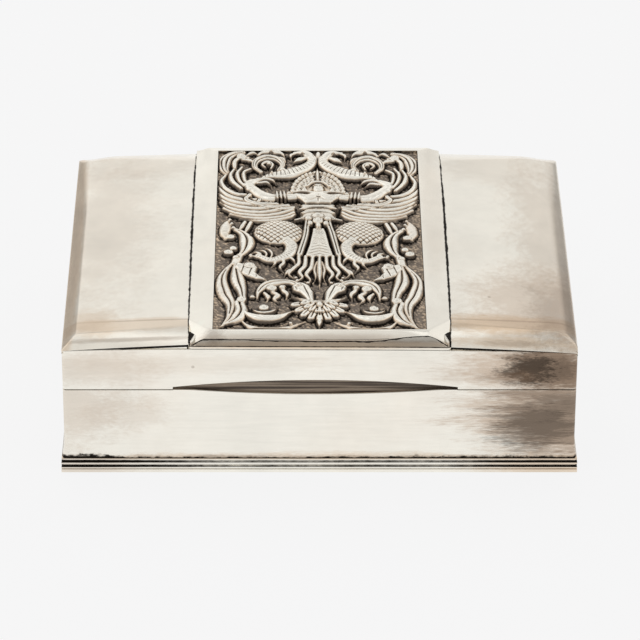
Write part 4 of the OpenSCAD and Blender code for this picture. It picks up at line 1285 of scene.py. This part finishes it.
def silver_skin(g, given):
    """Fine surface of silver: slow mottling, brushing along Grain, sparse pits and a warm bloom."""
    vector = given["Vector"]
    slow = g.noise(vector, 28.0, 4.0, 0.6)
    brush = g.noise(g.vector("MULTIPLY", vector, given["Grain"]), 1.0, 3.0, 0.7)
    fine = g.noise(vector, 900.0, 2.0, 0.5)
    streaks = g.math("MULTIPLY", g.math("SUBTRACT", brush, 0.5), 0.16)
    tone = g.math("MULTIPLY_ADD", g.math("SUBTRACT", slow, 0.5), given["Mottle"], streaks)
    rough = g.math("ADD", g.math("MULTIPLY", brush, 0.5), g.math("MULTIPLY", slow, 0.5))
    height = g.math("ADD", g.math("MULTIPLY", brush, 0.7), g.math("MULTIPLY", fine, 0.25))
    cell = g.add(
        "ShaderNodeTexVoronoi", "Distance", {"Vector": vector, "Scale": 75.0, "Randomness": 1.0},
        feature="F1",
    )
    rare = g.ramp(g.noise(vector, 55.0, 1.0, 0.5), 0.55, 0.7)
    pits = g.math("MULTIPLY", g.ramp(cell, 0.03, 0.06, 1.0, 0.0), rare)
    return tone, rough, height, pits, g.ramp(g.noise(vector, 13.0, 5.0, 0.62), 0.44, 0.68)


def stained(g, where, base, stains_and_reflections):
    """Colour base under stains and painted reflection bands, each an ellipsoid in millimetres with a colour,
    strength and breakup.
    """
    colours = bpy.context.scene.table_box_colours
    tree = shader_group(
        "Stain and painted band",
        {"Vector": "Vector", "Centre": "Vector", "Size": "Vector", "Breakup": "Float", "Edge": "Float",
         "Streak": "Vector"},
        {"Mask": "Float"}, stain_mask,
    )
    for centre, size, tint, strength, breakup, edge, streak in stains_and_reflections:
        mask = g.add("ShaderNodeGroup", "Mask", {
            "Vector": where, "Centre": Vector(centre) * MM, "Size": Vector(size) * MM,
            "Breakup": breakup, "Edge": edge, "Streak": streak,
        }, node_tree=tree)
        base = g.mix(g.math("MULTIPLY", mask, strength), base, colour(getattr(colours, tint)))
    return base


def skin_of(g, where, grain, mottle):
    """Outputs of the silver skin at a place: Tone, Rough, Height, Pits and Bloom."""
    tree = shader_group(
        "Silver skin", {"Vector": "Vector", "Grain": "Vector", "Mottle": "Float"},
        dict.fromkeys(("Tone", "Rough", "Height", "Pits", "Bloom"), "Float"), silver_skin,
    )
    inputs = {"Vector": where, "Grain": grain, "Mottle": mottle}
    return g.node("ShaderNodeGroup", inputs, node_tree=tree).outputs


# Stains and painted reflection bands: centre and size in millimetres, colour name, strength, breakup, edge,
# streak along x, y, z
BASE_STAINS = (
    ((86, -71, 22), (34, 30, 16), "warm", 0.75, 1.8, 0.40, (25, 30, 170)),
    ((84, -71, 22), (21, 30, 15), "brown", 0.62, 2.2, 0.35, (30, 30, 300)),
    ((76, -71, 18), (15, 30, 7), "black", 0.50, 3.0, 0.45, (40, 30, 420)),
    ((85, -71, 27), (9, 30, 5), "black", 0.30, 3.0, 0.5, (60, 30, 360)),
    ((-84, -71, 26), (16, 30, 14), "warm", 0.38, 1.8, 0.5, (60, 60, 120)),
    ((-66, -71, 24), (14, 30, 6), "warm", 0.24, 2.0, 0.5, (90, 60, 160)),
    ((0, -71, 5.2), (120, 30, 2.2), "tan", 0.60, 1.8, 0.5, (60, 60, 320)),
    ((0, -71, 5.2), (120, 30, 1.4), "brown", 0.50, 2.4, 0.5, (90, 60, 520)),
)
PLINTH_STAINS = (
    ((88, -71, 4), (30, 30, 6), "tan", 0.70, 1.0, 0.5, (60, 60, 200)),
    ((-88, -71, 4), (26, 30, 6), "warm", 0.40, 1.0, 0.5, (60, 60, 200)),
    ((0, -71, 5.7), (120, 3, 0.5), "tan", 0.80, 0.6, 0.3, (40, 60, 200)),
)
RIM_STAINS = (
    ((76, -71, 41), (27, 30, 9), "warm", 0.80, 1.8, 0.5, (30, 30, 120)),
    ((83, -71, 41), (18, 30, 9), "brown", 0.78, 1.8, 0.35, (40, 30, 200)),
    ((73, -71, 41.6), (8, 30, 5.4), "black", 0.72, 3.2, 0.45, (80, 30, 260)),
    ((84, -71, 41.4), (5, 30, 4), "black", 0.34, 3.2, 0.5, (90, 30, 260)),
    ((66, -71, 38.6), (8, 30, 2.6), "brown", 0.40, 2.4, 0.5, (60, 30, 260)),
    ((-76, -71, 42), (16, 30, 7), "warm", 0.36, 1.8, 0.6, (60, 60, 120)),
    ((-45, -71, 44), (40, 30, 3.5), "warm", 0.20, 1.8, 0.6, (40, 60, 160)),
)
PANEL_STAINS_AND_REFLECTIONS = (
    ((78, -44, 52), (25, 24, 20), "warm", 0.50, 1.8, 0.5, (60, 60, 40)),
    # Painted reflection bands across the right front roll, down to the row at its lip: under the shoulder, the
    # shoulder line and near the lip.
    ((70, -59.5, 52), (34, 5.2, 20), "tan", 0.90, 1.4, 0.45, (40, 120, 40)),
    ((78, -58.5, 52), (22, 4.2, 20), "warm", 0.45, 1.8, 0.45, (40, 120, 40)),
    ((66, -57.2, 52), (26, 0.6, 20), "brown", 0.28, 1.4, 0.6, (60, 200, 40)),
    ((68, -68.4, 50), (22, 2.2, 20), "tan", 0.60, 2.0, 0.5, (60, 200, 40)),
    ((67, -68.8, 50), (10, 1.1, 20), "brown", 0.26, 3.0, 0.5, (60, 260, 40)),
    ((87, -50, 52), (12, 22, 20), "brown", 0.34, 1.8, 0.5, (80, 80, 40)),
    ((83, 5, 52), (13, 52, 20), "warm", 0.36, 1.8, 0.5, (60, 40, 40)),
    ((70, 58, 52), (22, 12, 20), "warm", 0.20, 1.6, 0.5, (40, 60, 40)),
    # Painted reflection bands across the left front roll: under the shoulder, the shoulder line and near the
    # lip.
    ((-66, -60, 52), (30, 4.5, 20), "tan", 0.55, 1.2, 0.35, (40, 160, 40)),
    ((-66, -57.2, 52), (26, 0.5, 20), "brown", 0.30, 1.2, 0.6, (60, 200, 40)),
    ((-68, -67.9, 50), (28, 0.8, 20), "brown", 0.42, 1.6, 0.6, (60, 300, 40)),
    ((-80, -58, 52), (9, 9, 20), "tan", 0.50, 1.4, 0.5, (40, 60, 40)),
    # Painted reflection bands along the left and right side rolls.
    ((-89, 0, 51), (3.4, 90, 6), "tan", 0.75, 0.5, 0.35, (160, 30, 60)),
    ((88.5, 0, 51), (3.2, 90, 6), "warm", 0.26, 0.5, 0.45, (160, 30, 60)),
    ((-78, 10, 52), (18, 55, 20), "warm", 0.28, 1.8, 0.6, (60, 60, 40)),
    ((-66, 58, 52), (22, 9, 20), "warm", 0.24, 1.6, 0.6, (50, 60, 40)),
)
STRAP_STAINS_AND_REFLECTIONS = (
    ((42, 20, 54), (4, 50, 8), "warm", 0.16, 0.8, 0.5, (90, 40, 40)),
    # Painted reflection on the strap's front: its upright face, a darker line along it and the lower part of
    # its bevel.
    ((0, -71, 51.4), (60, 1.6, 1.6), "tan", 0.85, 0.5, 0.4, (40, 60, 200)),
    ((20, -71, 52.4), (30, 1.6, 0.7), "brown", 0.35, 0.8, 0.6, (40, 60, 200)),
    ((-6, -69.6, 53.6), (44, 1.4, 1.4), "warm", 0.42, 0.9, 0.5, (60, 90, 90)),
    ((-37, -69, 54), (3.6, 2.6, 3), "brown", 0.35, 1.6, 0.6, (90, 90, 90)),
)


def ragged(g, where, mark, tear):
    """Mask from a mark of 0 to 1, whose middle values a streaky noise tears into specks."""
    specks = g.swing(g.vector("MULTIPLY", where, (380, 380, 900)), 1.0, 4.0, 0.7)
    off_middle = g.math("ABSOLUTE", g.math("SUBTRACT", g.math("MULTIPLY", mark, 2.0), 1.0))
    middle = g.math("SUBTRACT", 1.0, off_middle)
    moved = g.math("ADD", mark, g.math("MULTIPLY", g.math("MULTIPLY", specks, tear), middle))
    return g.ramp(moved, 0.3, 0.75)


def polished_silver(context, name, stains_and_reflections, rough, tear=1.8):
    """Worn polished silver: a mottled warm metal with stains and painted reflection bands, grime and painted
    shade in its creases, pits and brushing.
    """
    colours = context.scene.table_box_colours
    material, g = new_material(name)
    where = g.add("ShaderNodeTexCoord", "Object")
    skin = skin_of(g, where, (60, 60, 900), 0.35)
    base = g.mix(g.math("MULTIPLY", skin["Bloom"], 0.16), colour(colours.silver), colour(colours.warm))
    base = g.shaded(stained(g, where, base, stains_and_reflections), skin["Tone"])
    base = g.mix(g.math("MULTIPLY", skin["Pits"], 0.6), base, colour(colours.brown))
    # Black from the mark: oxide at the wall foot and dark joints, with painted shade in undercuts and creases
    # and a painted dark reflection on the reeds.
    grime_and_shade = ragged(g, where, g.add("ShaderNodeAttribute", "Fac", attribute_name="grime_and_shade"), tear)
    base = g.mix(grime_and_shade, base, colour(colours.black))
    roughness = g.ramp(skin["Rough"], 0.2, 0.8, rough, rough + 0.12)
    roughness = g.math("MAXIMUM", roughness, g.math("MULTIPLY", grime_and_shade, 0.6))
    g.surface(base, 1.0, roughness, skin["Height"], strength=0.03, distance=0.0002)
    return material


def chased_silver(context):
    """Chased silver: crests painted bright as highlight, with some wear, a grey-brown punched ground and black
    oxide with painted shade in the recesses.
    """
    colours = context.scene.table_box_colours
    material, g = new_material("relief_silver")
    where = g.add("ShaderNodeTexCoord", "Object")
    skin = skin_of(g, where, (500, 500, 500), 0.4)
    highlight_and_wear, cavity = (
        g.add("ShaderNodeAttribute", "Fac", attribute_name=name) for name in ("highlight_and_wear", "cavity")
    )
    # Colours by the highlight share: the ground colour where it is low, on the ground and as painted shade on
    # slopes and low forms, tan for painted mid-tones, silver for the painted highlight on level crests.
    base = g.mix(g.ramp(highlight_and_wear, 0.0, 0.45), colour(colours.ground), colour(colours.tan))
    base = g.shaded(g.mix(g.ramp(highlight_and_wear, 0.3, 0.85), base, colour(colours.silver)), skin["Tone"])
    base = g.mix(g.ramp(cavity, 0.12, 0.75), base, colour(colours.black))
    roughness = g.ramp(highlight_and_wear, 0.0, 0.5, 0.5, 0.2)
    g.surface(base, 1.0, roughness, skin["Height"], strength=0.15, distance=0.0003)
    return material


def colour(value):
    """A colour property as four numbers."""
    return (*value, 1.0)


def wood(context, name, along, dark):
    """Oiled wood: rings stretched along one axis, with fine pores, and darker all over if dark is set."""
    colours = context.scene.table_box_colours
    deep, pale = colour(colours.dark_wood), colour(colours.wood)
    material, g = new_material(name)
    stretch = [1100.0, 1100.0, 1100.0]
    stretch[along] = 16.0
    grain = g.vector("MULTIPLY", g.add("ShaderNodeTexCoord", "Object"), stretch)
    rings = g.noise(grain, 1.0, 5.0, 0.6)
    pores = g.noise(grain, 4.0, 2.0, 0.5)
    base = g.mix(g.ramp(rings, 0.42, 0.6), deep, pale)
    base = g.mix(g.ramp(pores, 0.62, 0.75, 0.0, 0.5), base, deep)
    if dark:
        base = g.mix(0.5, base, deep)
    g.surface(base, 0.0, g.ramp(rings, 0.2, 0.8, 0.42, 0.66), rings, strength=0.25, distance=0.0003)
    return material


class TABLEBOX_OT_lining(bpy.types.Operator):
    """Gives the boards of the lining their wood, with the grain along each board"""

    bl_idname = "tablebox.lining"
    bl_label = "Lining"

    def execute(self, context):
        along_x = wood(context, "board_wood", 0, False)
        along_y = wood(context, "end_board_wood", 1, False)
        flat = wood(context, "flat_board_wood", 0, True)
        for prefix in ("lining", "lid_lining"):
            for side in ("front", "back"):
                set_material(f"{prefix}_{side}", along_x)
            for side in ("left", "right"):
                set_material(f"{prefix}_{side}", along_y)
        set_material("lining_floor", flat)
        set_material("lid_lining_top", flat)
        return {"FINISHED"}


class TABLEBOX_OT_hinge(bpy.types.Operator):
    """Gives the two leaves of the hinge and its pin their silver"""

    bl_idname = "tablebox.hinge"
    bl_label = "Hinge"

    def execute(self, context):
        material = polished_silver(context, "hinge_silver", (), rough=0.28)
        for node in ("base_knuckles", "lid_knuckles", "hinge_pin"):
            set_material(node, material)
        return {"FINISHED"}


# Stage


def shown_colour(g, tint, share):
    """Emission of tint for the rays of the camera and of mirrors, mixed by share into a diffuse tint."""
    path = g.node("ShaderNodeLightPath").outputs
    seen = g.math("ADD", path["Is Camera Ray"], path["Is Glossy Ray"], clamp=True)
    seen = g.math("ADD", seen, path["Is Transmission Ray"], clamp=True)
    matt = g.add("ShaderNodeBsdfDiffuse", 0, {"Color": tint})
    glow = g.add("ShaderNodeEmission", 0, {"Color": tint, "Strength": 1.0})
    return g.add("ShaderNodeMixShader", 0, {0: g.math("MULTIPLY", seen, share), 1: matt, 2: glow})


# Brightness of the room by the sine of the height over the horizon
ROOM_BY_HEIGHT = (
    (0.0, 0.96), (0.2, 0.95), (0.42, 0.90), (0.5, 0.84), (0.64, 0.80), (0.76, 0.60), (0.84, 0.60),
    (0.885, 0.66), (0.93, 0.74), (0.955, 0.70), (1.0, 0.78),
)


class TABLEBOX_OT_stage(bpy.types.Operator):
    """Makes the floor, the soft light and the camera"""

    bl_idname = "tablebox.stage"
    bl_label = "Stage"

    def execute(self, context):
        stage = context.scene.table_box_stage
        self.floor(stage)
        self.world(context, stage)
        self.softbox(stage)
        self.camera(context, stage)
        context.scene.view_settings.view_transform = "Standard"
        return {"FINISHED"}

    def floor(self, stage):
        """Wide pale floor under the box."""
        reach = 6000.0
        points = [(-reach, -reach, 0), (reach, -reach, 0), (reach, reach, 0), (-reach, reach, 0)]
        floor = make_piece("floor", points, [(0, 1, 2, 3)])
        material, g = new_material("floor_paper")
        g.node("ShaderNodeOutputMaterial", {0: shown_colour(g, colour(stage.floor), 0.90)})
        floor.data.materials.append(material)

    def world(self, context, stage):
        """Soft room: bright overhead and low behind, duller to the right and in front."""
        world = bpy.data.worlds.new("room")
        context.scene.world = world
        world.use_nodes = True
        world.node_tree.nodes.clear()
        g = Graph(world.node_tree)
        x, y, z = g.node("ShaderNodeSeparateXYZ", {0: g.add("ShaderNodeTexCoord", "Generated")}).outputs
        height = g.node("ShaderNodeValToRGB", {0: z})
        stops = height.color_ramp.elements
        for spot in ROOM_BY_HEIGHT[2:]:
            stops.new(spot[0])
        for stop, (place, level) in zip(stops, ROOM_BY_HEIGHT):
            stop.position, stop.color = place, (level, level, level, 1)
        aside = g.ramp(g.math("ABSOLUTE", x), 0.22, 0.45)
        lift = g.ramp(z, 0.25, 0.5, -0.5, 0.25)
        sides = g.math("ADD", g.math("MULTIPLY", aside, lift), 1.0)
        right = g.ramp(x, 0.0, 0.3, 1.0, 0.93)
        front = g.ramp(y, -0.8, -0.4, 0.42, 1.0)
        glow = g.math("MULTIPLY", height.outputs[0], sides)
        glow = g.math("MULTIPLY", glow, g.math("MULTIPLY", right, front))
        light = g.add("ShaderNodeBackground", 0, {"Color": (1.0, 0.99, 0.975, 1.0), "Strength": glow})
        plain = g.add("ShaderNodeBackground", 0, {"Color": colour(stage.floor), "Strength": 1.0})
        seen = g.add("ShaderNodeLightPath", "Is Camera Ray")
        g.node("ShaderNodeOutputWorld", {0: g.add("ShaderNodeMixShader", 0, {0: seen, 1: light, 2: plain})})

    def softbox(self, stage):
        """Wide soft light high behind the box."""
        light = bpy.data.lights.new("softbox", "AREA")
        light.energy = stage.softbox
        light.shape = "RECTANGLE"
        light.size, light.size_y = 1.8, 0.24
        lamp = bpy.data.objects.new("softbox", light)
        lamp.location = (-0.1, 0.55, 1.25)
        lamp.rotation_euler = (-lamp.location).to_track_quat("-Z", "Y").to_euler()
        bpy.context.scene.collection.objects.link(lamp)

    def camera(self, context, stage):
        """Long lens at the photograph's angle."""
        view = bpy.data.cameras.new("camera")
        view.lens = stage.lens
        view.sensor_width = 36.0
        view.shift_x = stage.shift
        view.clip_end = 50.0
        camera = bpy.data.objects.new("camera", view)
        back = Vector((0, -math.cos(stage.elevation), math.sin(stage.elevation)))
        camera.location = Vector(stage.aim) + back * stage.distance
        camera.rotation_euler = (-back).to_track_quat("-Z", "Y").to_euler()
        context.scene.collection.objects.link(camera)
        context.scene.camera = camera


class TABLEBOX_PT_panel(bpy.types.Panel):
    """Lists the settings and the steps of the table box"""

    bl_idname = "TABLEBOX_PT_panel"
    bl_label = "Table Box"
    bl_space_type = "VIEW_3D"
    bl_region_type = "UI"
    bl_category = "Table Box"

    def draw(self, context):
        for group in ("table_box_sizes", "table_box_colours", "table_box_stage"):
            holder = getattr(context.scene, group)
            for key in holder.__annotations__:
                self.layout.prop(holder, key)
        for step in STEPS:
            self.layout.operator(step.bl_idname)


STEPS = (
    TABLEBOX_OT_base, TABLEBOX_OT_plinth, TABLEBOX_OT_rims, TABLEBOX_OT_panels, TABLEBOX_OT_strap,
    TABLEBOX_OT_relief, TABLEBOX_OT_lining, TABLEBOX_OT_hinge, TABLEBOX_OT_stage,
)
GROUPS = {
    "table_box_sizes": TableBoxSizes,
    "table_box_colours": TableBoxColours,
    "table_box_stage": TableBoxStage,
}


def register():
    for item in (*GROUPS.values(), *STEPS, TABLEBOX_PT_panel):
        bpy.utils.register_class(item)
    for name, group in GROUPS.items():
        setattr(bpy.types.Scene, name, PointerProperty(type=group))


def unregister():
    for name in GROUPS:
        delattr(bpy.types.Scene, name)
    for item in (TABLEBOX_PT_panel, *reversed(STEPS), *GROUPS.values()):
        bpy.utils.unregister_class(item)


def main():
    register()
    for step in STEPS:
        area, name = step.bl_idname.split(".")
        getattr(getattr(bpy.ops, area), name)()


if __name__ == "__main__":
    main()
